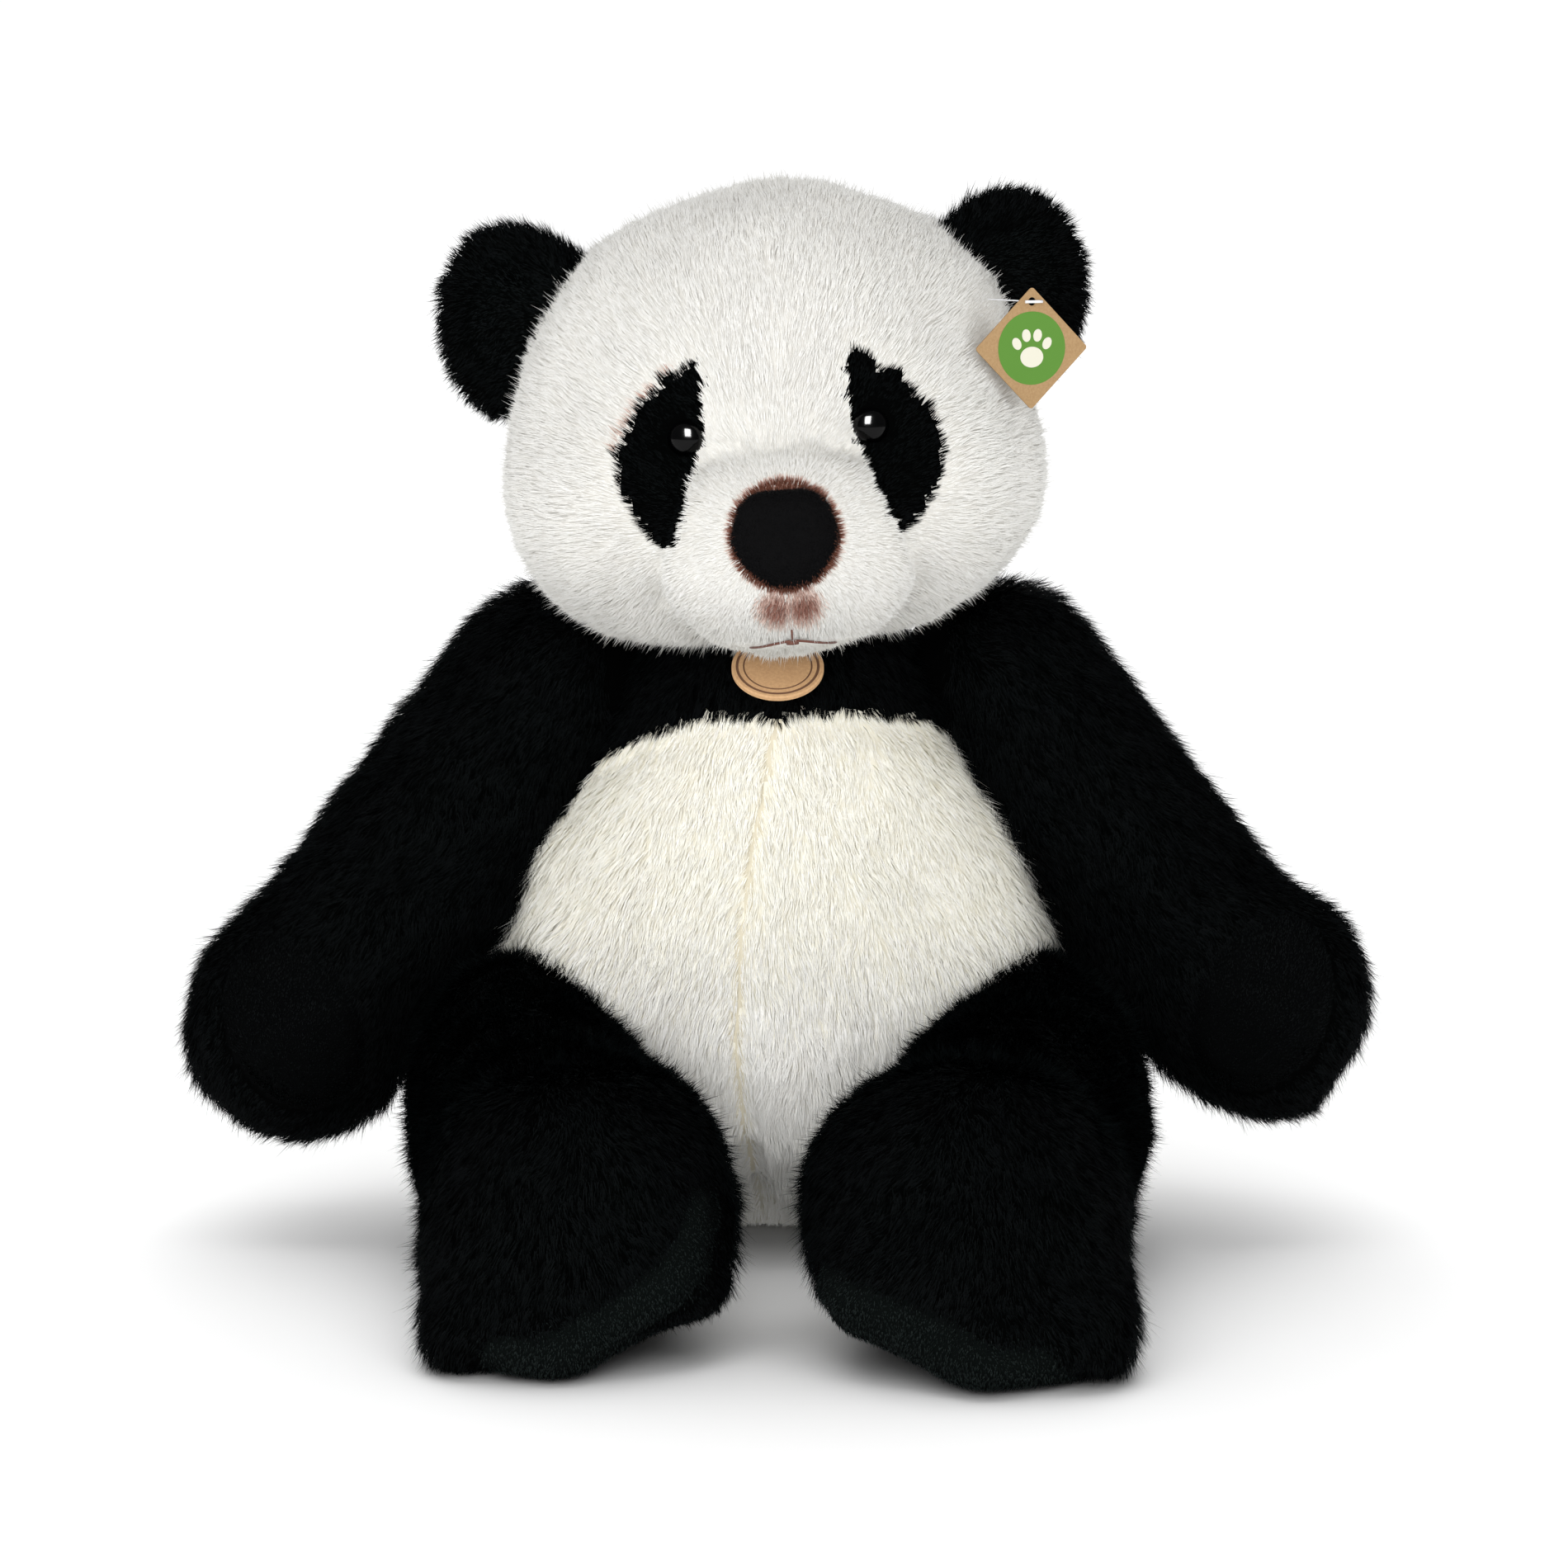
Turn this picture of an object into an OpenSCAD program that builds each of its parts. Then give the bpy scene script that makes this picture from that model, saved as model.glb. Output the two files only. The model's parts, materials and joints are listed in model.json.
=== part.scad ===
// Seated plush panda. Millimetres, +Z up, +X to the right seen from the front, the face looks along -Y.
// Every soft piece is a cut panel of a cover or the filling inside it; limbs, ears and head turn on
// rounded roots set into matching hollows.

/* [Cover] */
// Thickness of a plush panel with its pile pressed flat, mm.
fabric_t = 5; // [4:0.5:6]
// Clearance between pieces that move against each other, mm.
gap = 0.6; // [0.5:0.1:0.8]

/* [Head] */
// Width of the head across the cheeks, mm.
head_w = 258; // [252:1:262]
// Width of the skull above the cheeks, mm.
skull_w = 240; // [232:1:244]
// Height from the middle of the head to its crown, mm.
crown_h = 103; // [98:1:106]
// Height of the middle of the head above the seat, mm.
head_z = 405; // [403:1:408]
// Sideways tilt of the head, degrees.
head_roll = 4; // [0:0.5:5]
// Width of the muzzle, mm.
muzzle_w = 120; // [112:1:124]
// How far the muzzle stands ahead of the middle of the head, mm.
muzzle_reach = 140; // [132:1:144]
// Diameter of the eye dome, mm.
eye_d = 17; // [15:0.5:19]
// Distance between the eyes, mm.
eye_span = 86; // [82:1:90]
// Width of the nose, mm.
nose_w = 50; // [46:1:54]

/* [Ears] */
// Height of an ear along its root, mm.
ear_h = 88; // [80:1:92]
// How far an ear stands out from its fold line, mm.
ear_reach = 59; // [54:1:62]
// Thickness of an ear at its rim roll, mm.
ear_t = 28; // [24:1:30]

/* [Body] */
// Width of the belly at its widest, mm.
belly_w = 290; // [280:2:296]
// Depth of the body front to back, mm.
belly_d = 236; // [228:2:240]
// Height of the shoulder line above the seat, mm.
shoulder_h = 302; // [298:1:304]
// Height of the seam between belly and shoulder yoke, mm.
yoke_z = 248; // [242:1:252]
// Diameter of the ball where the head sits in the shoulders, mm.
neck_d = 124; // [120:1:126]

/* [Arms] */
// Sideways distance of a shoulder from the middle, mm.
shoulder_x = 110; // [108:1:112]
// Thickness of the arm at the shoulder, mm.
arm_d = 94; // [92:1:98]
// Thickness of the arm at the elbow, mm.
elbow_d = 102; // [96:1:104]
// Width of a paw, mm.
paw_w = 103; // [96:1:106]
// Width of the bare palm pad, mm.
palm_w = 62; // [54:1:66]

/* [Legs] */
// Sideways distance of a hip from the middle, mm.
hip_x = 125; // [123:1:127]
// Height of the thigh, mm.
thigh_d = 132; // [128:1:134]
// Width of the thigh, mm.
thigh_w = 102; // [96:1:104]
// Width of a foot, mm.
foot_w = 132; // [126:1:134]

/* [Trim] */
// Side of the square hang tag, mm.
tag_side = 41; // [38:1:43]
// Diameter of the collar medallion, mm.
medallion_d = 44; // [40:1:46]

/* [Hidden] */
head_c = [0, -22, head_z];
pivot = [0, -8, 338];
neck_r = neck_d / 2;
neck_film = 3;
cheek_r = [head_w / 2 - 50, 82, 68];
cheek_c = [50, -18, -35];
skull_r = [skull_w / 2, 98, crown_h - 8];
skull_c = [0, 8, 8];
muzzle_r = [muzzle_w / 2, 56, 48];
muzzle_c = [0, 56 - muzzle_reach, -58];
mouth_z = -97;
eye_at = [eye_span / 2, -90.5, -5];
eye_turn = 22;
nose_c = [0, muzzle_c[1] - muzzle_r[1] + 3, -50];
ear_dir = 22;
ear_axis_r = 112;
arm_r = arm_d / 2;
shoulder = [shoulder_x, 8, 265];
elbow_r = elbow_d / 2;
elbow = [171, -6, 181];
wrist = [206, -22, 140];
arm_turns = [-15, 0, 15, 30, 45, 60, 75];
hip = [hip_x, -62, 71];
thigh_r = [thigh_w / 2, thigh_d / 2, thigh_d / 2];
ankle_r = [57, 58, 58];
leg_turns = [-12, 0, 20];
tag_at = [120, -74, 437];
tag_yaw = 21;
disc_at = [0, -82.5, 285.5];
disc_tilt = 55;
white = [0.95, 0.94, 0.9];
black = [0.05, 0.06, 0.06];
fill = [0.97, 0.97, 0.97];
felt = [0.03, 0.03, 0.03];
plastic = [0.02, 0.02, 0.02];
card = [0.76, 0.6, 0.42];

// An identity resize: the tree below is worked out as one closed mesh.
module one_mesh() { resize([0, 0, 0]) children(); }

// An ellipsoid about c with radii r, shrunk by d.
module ell(c, r, d = 0, f = 22) {
  translate(c) scale([r[0] - d, r[1] - d, r[2] - d]) sphere(1, $fn = f);
}
module ball(c, r, f = 20) { translate(c) sphere(r, $fn = f); }
// The half-space where n . p > k.
module half(n, k) {
  l = norm(n);
  u = n / l;
  rotate([0, acos(u[2]), atan2(u[1], u[0])]) translate([0, 0, k / l + 1000]) cube(2000, center = true);
}
module sided(s) { if (s > 0) children(); else mirror([1, 0, 0]) children(); }
module in_head() { translate(head_c) rotate([0, -head_roll, 0]) children(); }
// A flat outline in x, z pushed from y = y0 towards the front.
module forward(y0, l) { translate([0, y0, 0]) rotate([90, 0, 0]) linear_extrude(l) children(); }

// ---------------------------------------------------------------- head
module skull_form(d) {
  hull() {
    ell(skull_c, skull_r, d);
    for (s = [-1, 1]) ell([s * cheek_c[0], cheek_c[1], cheek_c[2]], cheek_r, d);
  }
  ell(muzzle_c, muzzle_r, d);
}
module ear_trough(d) {
  for (s = [-1, 1]) sided(s) ear_frame()
    cylinder(r = 19 + gap + d, h = ear_h + 12 + 2 * d, center = true, $fn = 18);
}
module head_outer() {
  difference() {
    union() { in_head() skull_form(0); ball(pivot, neck_r, 26); }
    in_head() ear_trough(0);
  }
}
module head_inner() {
  difference() {
    union() { in_head() skull_form(fabric_t); ball(pivot, neck_r - fabric_t, 26); }
    in_head() ear_trough(fabric_t);
  }
}
module head_shell() { difference() { head_outer(); head_inner(); } }
module patch_outline() {
  polygon([[35, 30], [44, 27], [55, 19], [67, 5], [75, -10], [74, -24], [68, -38], [58, -51],
    [53, -53], [47, -44], [41, -28], [36, -12], [33.5, 4], [33, 20]]);
}
module patch_prism(s) { in_head() sided(s) forward(-30, 140) patch_outline(); }
module muzzle_prism() {
  in_head() forward(-55, 165) translate([0, -52]) scale([muzzle_w / 2 - 2, 50]) circle(1, $fn = 22);
}
module eye_frame(s) {
  in_head() sided(s) translate(eye_at) rotate([0, 0, eye_turn]) rotate([90, 0, 0]) children();
}
// Clearance bores through panel and filling for the eye stem and its washer.
module eye_bores() {
  for (s = [-1, 1]) eye_frame(s) {
    translate([0, 0, -0.2]) cylinder(r = eye_d / 2 + 0.3, h = 20, $fn = 20);
    translate([0, 0, -17]) cylinder(r = 2.3, h = 20, $fn = 10);
  }
}
module washer_pockets() {
  for (s = [-1, 1]) eye_frame(s) {
    translate([0, 0, -9.3]) cylinder(r = 10.3, h = 12, $fn = 20);
    translate([0, 0, -17]) cylinder(r = 2.3, h = 20, $fn = 10);
  }
}
module crown_region() { in_head() half([0, 0.62, 1], 44); }
module base_region() { in_head() half([0, 0, -1], 88); }
module head_crown() {
  color(white) one_mesh() difference() {
    intersection() { head_shell(); crown_region(); }
    for (s = [-1, 1]) patch_prism(s);
    muzzle_prism();
  }
}
module cheek(s) {
  color(white) one_mesh() difference() {
    intersection() { head_shell(); half([s, 0, 0], 0); }
    crown_region();
    base_region();
    patch_prism(s);
    muzzle_prism();
  }
}
module cheek_left() { cheek(-1); }
module cheek_right() { cheek(1); }
module muzzle_cover() {
  color(white) one_mesh() difference() {
    intersection() { head_shell(); muzzle_prism(); }
    base_region();
    for (s = [-1, 1]) patch_prism(s);
  }
}
module chin_gusset() {
  color(white) one_mesh() intersection() { head_shell(); base_region(); }
}
module eye_patch(s) {
  color(black) one_mesh() difference() {
    intersection() { head_shell(); patch_prism(s); }
    eye_bores();
  }
}
module eye_patch_left() { eye_patch(-1); }
module eye_patch_right() { eye_patch(1); }
module head_stuffing() {
  color(fill) one_mesh() difference() { head_inner(); washer_pockets(); }
}
// Dome, stem and end of a plastic safety eye, turned about its own axis.
module eye(s) {
  r = eye_d / 2;
  color(plastic) eye_frame(s) rotate_extrude($fn = 48)
    polygon(concat([[0, -16], [2, -16], [2, 0], [r, 0], [r, 1.2]],
      [for (a = [10:10:80]) [r * cos(a), 1.2 + 6.6 * sin(a)]], [[0, 7.8]]));
}
module eye_left() { eye(-1); }
module eye_right() { eye(1); }
module eye_washer(s) {
  color(white) eye_frame(s) translate([0, 0, -9]) difference() {
    cylinder(r = 10, h = 1.6, $fn = 48);
    translate([0, 0, -1]) cylinder(r = 2.15, h = 4, $fn = 24);
  }
}
module eye_washer_left() { eye_washer(-1); }
module eye_washer_right() { eye_washer(1); }
// The nose: a rounded shield, flatter across its top.
module nose_form(d) {
  w = nose_w / 2;
  in_head() hull() {
    for (s = [-1, 1]) ell([s * (w - 16), nose_c[1], nose_c[2] + 8], [16, 11, 14], d, 12);
    ell([0, nose_c[1] - 1, nose_c[2] - 6], [w - 5, 12, 18], d, 16);
  }
}
module nose_cover() {
  color(felt) one_mesh() difference() { nose_form(0); nose_form(1.6); head_outer(); }
}
module nose_stuffing() {
  color(fill) one_mesh() difference() { nose_form(1.6); head_outer(); }
}
// Embroidered mouth: a knot under the nose line and an arc to each side, laid on the muzzle.
function mouth_x(i) = -20 + 5 * i;
function mouth_h(x) = mouth_z + 1 - 4.5 * pow(abs(x) / 20, 1.5);
function muzzle_y(x, z) = muzzle_c[1] - muzzle_r[1]
  * sqrt(1 - pow(x / muzzle_r[0], 2) - pow((z - muzzle_c[2]) / muzzle_r[2], 2)) - 0.4;
module mouth_stitch() {
  color([0.35, 0.16, 0.12]) one_mesh() difference() {
    in_head() mouth_line();
    head_outer();
  }
}
module mouth_line() {
  for (i = [0:7]) hull() for (j = [i, i + 1])
      ball([mouth_x(j), muzzle_y(mouth_x(j), mouth_h(mouth_x(j))), mouth_h(mouth_x(j))], 1, 6);
  for (i = [0:2]) hull() for (j = [i, i + 1])
      ball([0, muzzle_y(0, mouth_z + 1 + 5 * j), mouth_z + 1 + 5 * j], 1, 6);
}

// ---------------------------------------------------------------- ears
// Frame of the right ear: z along the fold line, x outwards from it, y to the back.
module ear_frame() {
  rotate([0, -ear_dir, 0]) translate([ear_axis_r, 5, 0]) children();
}
module ear_form() {
  difference() {
    union() {
      translate([ear_reach - 38, 0, 0]) scale([38, ear_t / 2, ear_h / 2]) sphere(1, $fn = 20);
      intersection() {
        translate([2, 0, 0]) scale([20, 16, ear_h / 2 - 4]) sphere(1, $fn = 14);
        cylinder(r = 18, h = ear_h, center = true, $fn = 18);
      }
    }
    translate([ear_reach - 28, -20, -2]) scale([26, 24, 31]) sphere(1, $fn = 14);
    translate([-60, 0, 0]) cube([80, 200, 200], center = true);
  }
}
module ear_part(s, front) {
  color(black) one_mesh() in_head() sided(s) ear_frame() intersection() {
    ear_form();
    half([0, front ? -1 : 1, 0], front ? -1 : 1);
  }
}
module ear_front_left() { ear_part(-1, true); }
module ear_front_right() { ear_part(1, true); }
module ear_back_left() { ear_part(-1, false); }
module ear_back_right() { ear_part(1, false); }

// ---------------------------------------------------------------- body
// Height, half width, half depth and centre line of the body, from seat to shoulders.
bw = belly_w / 2;
bd = belly_d / 2;
body_rings = [
  [0, bw - 50, bd - 38, 8], [7, bw - 28, bd - 18, 7], [24, bw - 12, bd - 6, 6],
  [60, bw - 2, bd - 1, 4], [105, bw, bd, 3], [150, bw - 6, bd - 3, 3], [190, bw - 20, bd - 10, 4],
  [225, bw - 42, bd - 22, 5], [252, bw - 62, bd - 34, 5], [276, bw - 76, bd - 46, 4],
  [292, bw - 84, bd - 54, 2], [shoulder_h, bw - 96, bd - 66, 0]];
ring_n = 32;
module body_form(d) {
  k = len(body_rings);
  top = k - 1;
  pts = [for (i = [0:top]) let (r = body_rings[i], z = i == 0 ? d : i == top ? r[0] - d : r[0])
    for (j = [0:ring_n - 1]) let (a = 360 * j / ring_n)
      [(r[1] - d) * cos(a), r[3] + (r[2] - d) * sin(a), z]];
  polyhedron(points = pts, faces = concat(
    [[for (j = [0:ring_n - 1]) j]],
    [for (i = [0:top - 1]) for (j = [0:ring_n - 1]) let (a = i * ring_n + j,
      b = i * ring_n + (j + 1) % ring_n) each [[a, a + ring_n, b + ring_n], [a, b + ring_n, b]]],
    [[for (j = [ring_n - 1:-1:0]) top * ring_n + j]]), convexity = 4);
}
module turned(at, a) { translate(at) rotate([a, 0, 0]) translate(-at) children(); }
// Room kept free for an arm over its whole swing, grown by d.
module arm_room(s, d) {
  sided(s) hull() {
    ball(shoulder, arm_r + d, 20);
    for (a = arm_turns) turned(shoulder, -a) ball(elbow, elbow_r + d, 16);
  }
}
// Room kept free for a leg over its whole swing, grown by d.
module leg_room(s, d) {
  sided(s) hull() {
    ell(hip, thigh_r, -d, 20);
    for (a = leg_turns) turned(hip, a) ell(ankle(1), ankle_r, -d, 16);
  }
}
module body_outer() {
  difference() {
    body_form(0);
    for (s = [-1, 1]) { arm_room(s, gap + 1.8); leg_room(s, gap + 1.4); }
    ball(pivot, neck_r + neck_film + 3 * gap, 28);
  }
}
module body_inner() {
  difference() {
    body_form(fabric_t);
    for (s = [-1, 1]) {
      arm_room(s, gap + 1.8 + fabric_t);
      leg_room(s, gap + 1.4 + fabric_t);
    }
    ball(pivot, neck_r + neck_film + 3 * gap + fabric_t, 28);
  }
}
module body_shell() { difference() { body_outer(); body_inner(); } }
seam_x = -8;
seat_z = 14;
// The yoke seam dips towards each side.
module yoke_region() { for (s = [-1, 1]) half([0.2 * s, 0.12, 1], yoke_z); }
module chest_yoke() { color(black) one_mesh() intersection() { body_shell(); yoke_region(); } }
module body_panel(n, k, front) {
  color(white) one_mesh() difference() {
    intersection() {
      body_shell();
      half(n, k);
      half([0, front ? -1 : 1, 0], front ? -4 : 4);
      half([0, 0, 1], seat_z);
    }
    yoke_region();
  }
}
module belly_panel_left() { body_panel([-1, 0, 0], -seam_x, true); }
module belly_panel_right() { body_panel([1, 0, 0], seam_x, true); }
module back_panel_left() { body_panel([-1, 0, 0], 0, false); }
module back_panel_right() { body_panel([1, 0, 0], 0, false); }
module seat_panel() {
  color(white) one_mesh() difference() { body_shell(); half([0, 0, 1], seat_z); }
}
// A bag of plastic beans sits low in the filling for weight.
module bag_form() {
  intersection() {
    translate([0, 14, fabric_t]) scale([66, 56, 34]) sphere(1, $fn = 18);
    half([0, 0, 1], fabric_t);
    body_inner();
  }
}
module body_stuffing() { color(fill) one_mesh() difference() { body_inner(); bag_form(); } }
module bean_bag() { color([0.85, 0.84, 0.8]) one_mesh() bag_form(); }
// Short tail, sewn low on the back seam.
module tail_form(d) {
  hull() { ball([0, bd + 6, 46], 19 - d, 14); ball([0, bd + 20, 38], 15 - d, 14); }
}
module tail_cover() {
  color(white) one_mesh() difference() { tail_form(0); tail_form(fabric_t - 1); body_outer(); }
}
module tail_stuffing() {
  color(fill) one_mesh() difference() { tail_form(fabric_t - 1); body_outer(); }
}
// Folded sewn-in label, blank, on the back seam beside the tail.
module care_label() {
  color([0.98, 0.98, 0.98]) translate([34, bd + 0.5, 62]) rotate([0, 0, -14]) {
    translate([-12, 0, 0]) cube([24, 26, 0.6]);
    translate([-12, 0, 1.4]) cube([24, 26, 0.6]);
    translate([-12, 25.4, 0.3]) cube([24, 0.6, 1.4]);
  }
}
// Gathered neck cloth between the ball of the head and the hollow of the shoulders.
module neck_gather() {
  r0 = neck_r + gap;
  r1 = r0 + neck_film;
  color(black) translate(pivot) rotate_extrude($fn = 64) polygon(concat(
    [for (a = [0:4:44]) [r1 * sin(a), -r1 * cos(a)]],
    [for (a = [44:-4:0]) [r0 * sin(a), -r0 * cos(a)]]));
}

// ---------------------------------------------------------------- arms
function paw(s) = s > 0 ? [235, -38, 116] : [235, -38, 107];
function paw_r(s) = [paw_w / 2, 46, s > 0 ? 54 : 56];
module arm_form(s, d) {
  hull() { ball(shoulder, arm_r - d, 20); ball(elbow, elbow_r - d, 16); }
  hull() { ball(elbow, elbow_r - d, 16); ball(wrist, 49 - d, 16); }
  hull() { ball(wrist, 49 - d, 16); ell(paw(s), paw_r(s), d, 20); }
}
module palm_prism(s) {
  translate(paw(s) + [-2, -12, 2]) rotate([0, 24, 0]) forward(0, 90)
    scale([palm_w / 2, 47]) circle(1, $fn = 22);
}
module arm_cover(s) {
  color(black) one_mesh() sided(s) difference() {
    arm_form(s, 0);
    arm_form(s, fabric_t);
    palm_prism(s);
  }
}
module arm_cover_left() { arm_cover(-1); }
module arm_cover_right() { arm_cover(1); }
module palm_pad(s) {
  color([0.1, 0.11, 0.12]) one_mesh() sided(s) intersection() {
    difference() { arm_form(s, 0); arm_form(s, fabric_t); }
    palm_prism(s);
  }
}
module palm_pad_left() { palm_pad(-1); }
module palm_pad_right() { palm_pad(1); }
module arm_stuffing(s) { color(fill) one_mesh() sided(s) arm_form(s, fabric_t); }
module arm_stuffing_left() { arm_stuffing(-1); }
module arm_stuffing_right() { arm_stuffing(1); }

// ---------------------------------------------------------------- legs
// The right foot reaches a little farther forward; both rest on their outer edge.
function ankle(s) = [hip_x - 24, -186, 65];
function foot(s) = s > 0 ? [84, -245, 68] : [89, -236, 68];
function toe_y(s) = s > 0 ? -303 : -286;
module leg_form(s, d) {
  w = foot_w / 2 + (s > 0 ? 2 : -1);
  c = foot(s);
  hull() { ell(hip, thigh_r, d, 20); ell(ankle(s), ankle_r, d, 18); }
  hull() {
    ell(ankle(s), ankle_r - [4, 6, 6], d, 16);
    ell(c, [w, 58, 57], d, 20);
    ball([c[0] + w - 16, toe_y(s), 17], 16 - d, 10);
    ball([c[0] + w - 15, toe_y(s) + 80, 17], 15 - d, 10);
    ball([c[0] + 8, toe_y(s) - 13, 20], 18 - d, 10);
    ball([c[0] - w + 25, toe_y(s) + 18, 40], 24 - d, 12);
  }
}
module sole_region() { half([-0.3, -0.42, -1], 86); }
module leg_cover(s) {
  color(black) one_mesh() sided(s) difference() {
    leg_form(s, 0);
    leg_form(s, fabric_t);
    sole_region();
  }
}
module leg_cover_left() { leg_cover(-1); }
module leg_cover_right() { leg_cover(1); }
module sole_pad(s) {
  color([0.1, 0.11, 0.12]) one_mesh() sided(s) intersection() {
    difference() { leg_form(s, 0); leg_form(s, fabric_t); }
    sole_region();
  }
}
module sole_pad_left() { sole_pad(-1); }
module sole_pad_right() { sole_pad(1); }
module leg_stuffing(s) { color(fill) one_mesh() sided(s) leg_form(s, fabric_t); }
module leg_stuffing_left() { leg_stuffing(-1); }
module leg_stuffing_right() { leg_stuffing(1); }

// ---------------------------------------------------------------- tags
// Frame of the hang tag: its hole is the origin, z up the card, y through it.
tag_drop = tag_side / sqrt(2) - 7;
module tag_frame() { translate(tag_at + [0, 0, tag_drop]) rotate([0, 0, tag_yaw]) children(); }
module tag_card() {
  color(card) tag_frame() difference() {
    translate([0, 0.4, -tag_drop]) rotate([90, 0, 0]) linear_extrude(0.8) rotate(45)
      square(tag_side, center = true);
    rotate([90, 0, 0]) cylinder(r = 2, h = 6, center = true, $fn = 32);
  }
}
// Plastic filament through ear seam and card, with a bar at the front.
module tag_pin() {
  color([0.6, 0.62, 0.66]) tag_frame() {
    rotate([0, 0, 22]) translate([0, -3, 0]) rotate([-90, 0, 0]) cylinder(r = 0.8, h = 36, $fn = 24);
    translate([-3.3, -3, 0]) rotate([0, 90, 0]) cylinder(r = 0.9, h = 9, $fn = 24);
  }
}
// Frame of the medallion: origin at its hole, z up the disc, y through it towards the chest.
module disc_frame() {
  translate(disc_at) rotate([-disc_tilt, 0, 0]) translate([0, 0, medallion_d / 2 - 4.5]) children();
}
module medallion_disc() {
  color(card) disc_frame() difference() {
    translate([0, 1.5, 4.5 - medallion_d / 2]) rotate([90, 0, 0])
      cylinder(r = medallion_d / 2, h = 3, $fn = 64);
    rotate([90, 0, 0]) cylinder(r = 1.9, h = 12, center = true, $fn = 32);
  }
}
module medallion_pin() {
  color(plastic) disc_frame() {
    translate([0, -3, 0]) rotate([-90, 0, 0]) cylinder(r = 1, h = 15, $fn = 24);
    translate([0, -3.6, 0]) rotate([-90, 0, 0]) cylinder(r = 3, h = 1.4, $fn = 32);
  }
}

head_crown();
cheek_left();
cheek_right();
muzzle_cover();
chin_gusset();
eye_patch_left();
eye_patch_right();
head_stuffing();
eye_left();
eye_right();
eye_washer_left();
eye_washer_right();
nose_cover();
nose_stuffing();
mouth_stitch();
ear_front_left();
ear_front_right();
ear_back_left();
ear_back_right();
chest_yoke();
belly_panel_left();
belly_panel_right();
back_panel_left();
back_panel_right();
seat_panel();
body_stuffing();
bean_bag();
tail_cover();
tail_stuffing();
care_label();
neck_gather();
arm_cover_left();
arm_cover_right();
palm_pad_left();
palm_pad_right();
arm_stuffing_left();
arm_stuffing_right();
leg_cover_left();
leg_cover_right();
sole_pad_left();
sole_pad_right();
leg_stuffing_left();
leg_stuffing_right();
tag_card();
tag_pin();
medallion_disc();
medallion_pin();
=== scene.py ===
"""Visual model of the seated plush panda: skins, a pile of real ribbons, trims, light and camera."""

import json
import math

import bmesh
import bpy
import numpy as np
from mathutils import Matrix, Vector

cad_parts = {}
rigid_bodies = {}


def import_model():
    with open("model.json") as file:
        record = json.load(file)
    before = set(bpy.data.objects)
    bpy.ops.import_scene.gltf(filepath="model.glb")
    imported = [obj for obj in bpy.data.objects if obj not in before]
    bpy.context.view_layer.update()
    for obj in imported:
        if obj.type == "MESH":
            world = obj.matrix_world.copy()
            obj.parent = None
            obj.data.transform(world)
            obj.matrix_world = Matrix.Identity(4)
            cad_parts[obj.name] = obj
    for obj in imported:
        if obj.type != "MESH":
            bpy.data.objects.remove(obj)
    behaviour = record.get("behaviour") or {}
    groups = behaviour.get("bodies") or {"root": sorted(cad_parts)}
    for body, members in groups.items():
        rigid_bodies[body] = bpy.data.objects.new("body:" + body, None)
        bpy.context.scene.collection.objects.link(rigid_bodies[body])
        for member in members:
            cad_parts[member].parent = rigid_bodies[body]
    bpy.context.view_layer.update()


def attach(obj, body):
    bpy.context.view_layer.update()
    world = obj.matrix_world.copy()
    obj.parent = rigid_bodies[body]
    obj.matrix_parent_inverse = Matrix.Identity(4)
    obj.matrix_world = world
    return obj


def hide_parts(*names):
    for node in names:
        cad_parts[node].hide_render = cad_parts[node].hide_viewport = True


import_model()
MM = 0.001


def V3(*numbers):
    return np.array(numbers, float)


def link(name, data):
    """A new object from data, in the scene."""
    ob = bpy.data.objects.new(name, data)
    bpy.context.scene.collection.objects.link(ob)
    return ob


# ---------- materials
def material(name, colour, rough=0.9, sheen=0.0, tint=(1, 1, 1), spec=0.3):
    m = bpy.data.materials.new(name)
    m.use_nodes = True
    b = m.node_tree.nodes["Principled BSDF"]
    b.inputs["Base Color"].default_value = (*colour, 1)
    b.inputs["Roughness"].default_value = rough
    b.inputs["Sheen Weight"].default_value = sheen
    b.inputs["Sheen Roughness"].default_value = 0.4
    b.inputs["Sheen Tint"].default_value = (*tint, 1)
    b.inputs["Specular IOR Level"].default_value = spec
    return m


def noisy(m, low, high, scale, bump):
    """Mottles a material between two colours with object-space noise, and gives it a fine bump."""
    t = m.node_tree
    b = t.nodes["Principled BSDF"]
    co = t.nodes.new("ShaderNodeTexCoord")
    n = t.nodes.new("ShaderNodeTexNoise")
    n.inputs["Scale"].default_value = scale
    n.inputs["Detail"].default_value = 6
    n.inputs["Roughness"].default_value = 0.7
    r = t.nodes.new("ShaderNodeValToRGB")
    r.color_ramp.elements[0].position = 0.3
    r.color_ramp.elements[1].position = 0.72
    r.color_ramp.elements[0].color = (*low, 1)
    r.color_ramp.elements[1].color = (*high, 1)
    t.links.new(co.outputs["Object"], n.inputs["Vector"])
    t.links.new(n.outputs["Fac"], r.inputs["Fac"])
    t.links.new(r.outputs["Color"], b.inputs["Base Color"])
    k = t.nodes.new("ShaderNodeBump")
    k.inputs["Strength"].default_value = bump
    k.inputs["Distance"].default_value = 0.0002
    t.links.new(n.outputs["Fac"], k.inputs["Height"])
    t.links.new(k.outputs["Normal"], b.inputs["Normal"])
    return m


def coat(name, colours, roughs, sheens, specs, tint=(1, 1, 1), parts=(" root", "", " tip")):
    """The root, shaft and tip materials of one kind of pile; the darker root, also worn by most skins, is
    painted shade deep in the pile.
    """
    return [material(name + part, colour, rough=rough, sheen=sheen, tint=tint, spec=spec)
            for part, colour, rough, sheen, spec in zip(parts, colours, roughs, sheens, specs)]


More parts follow.
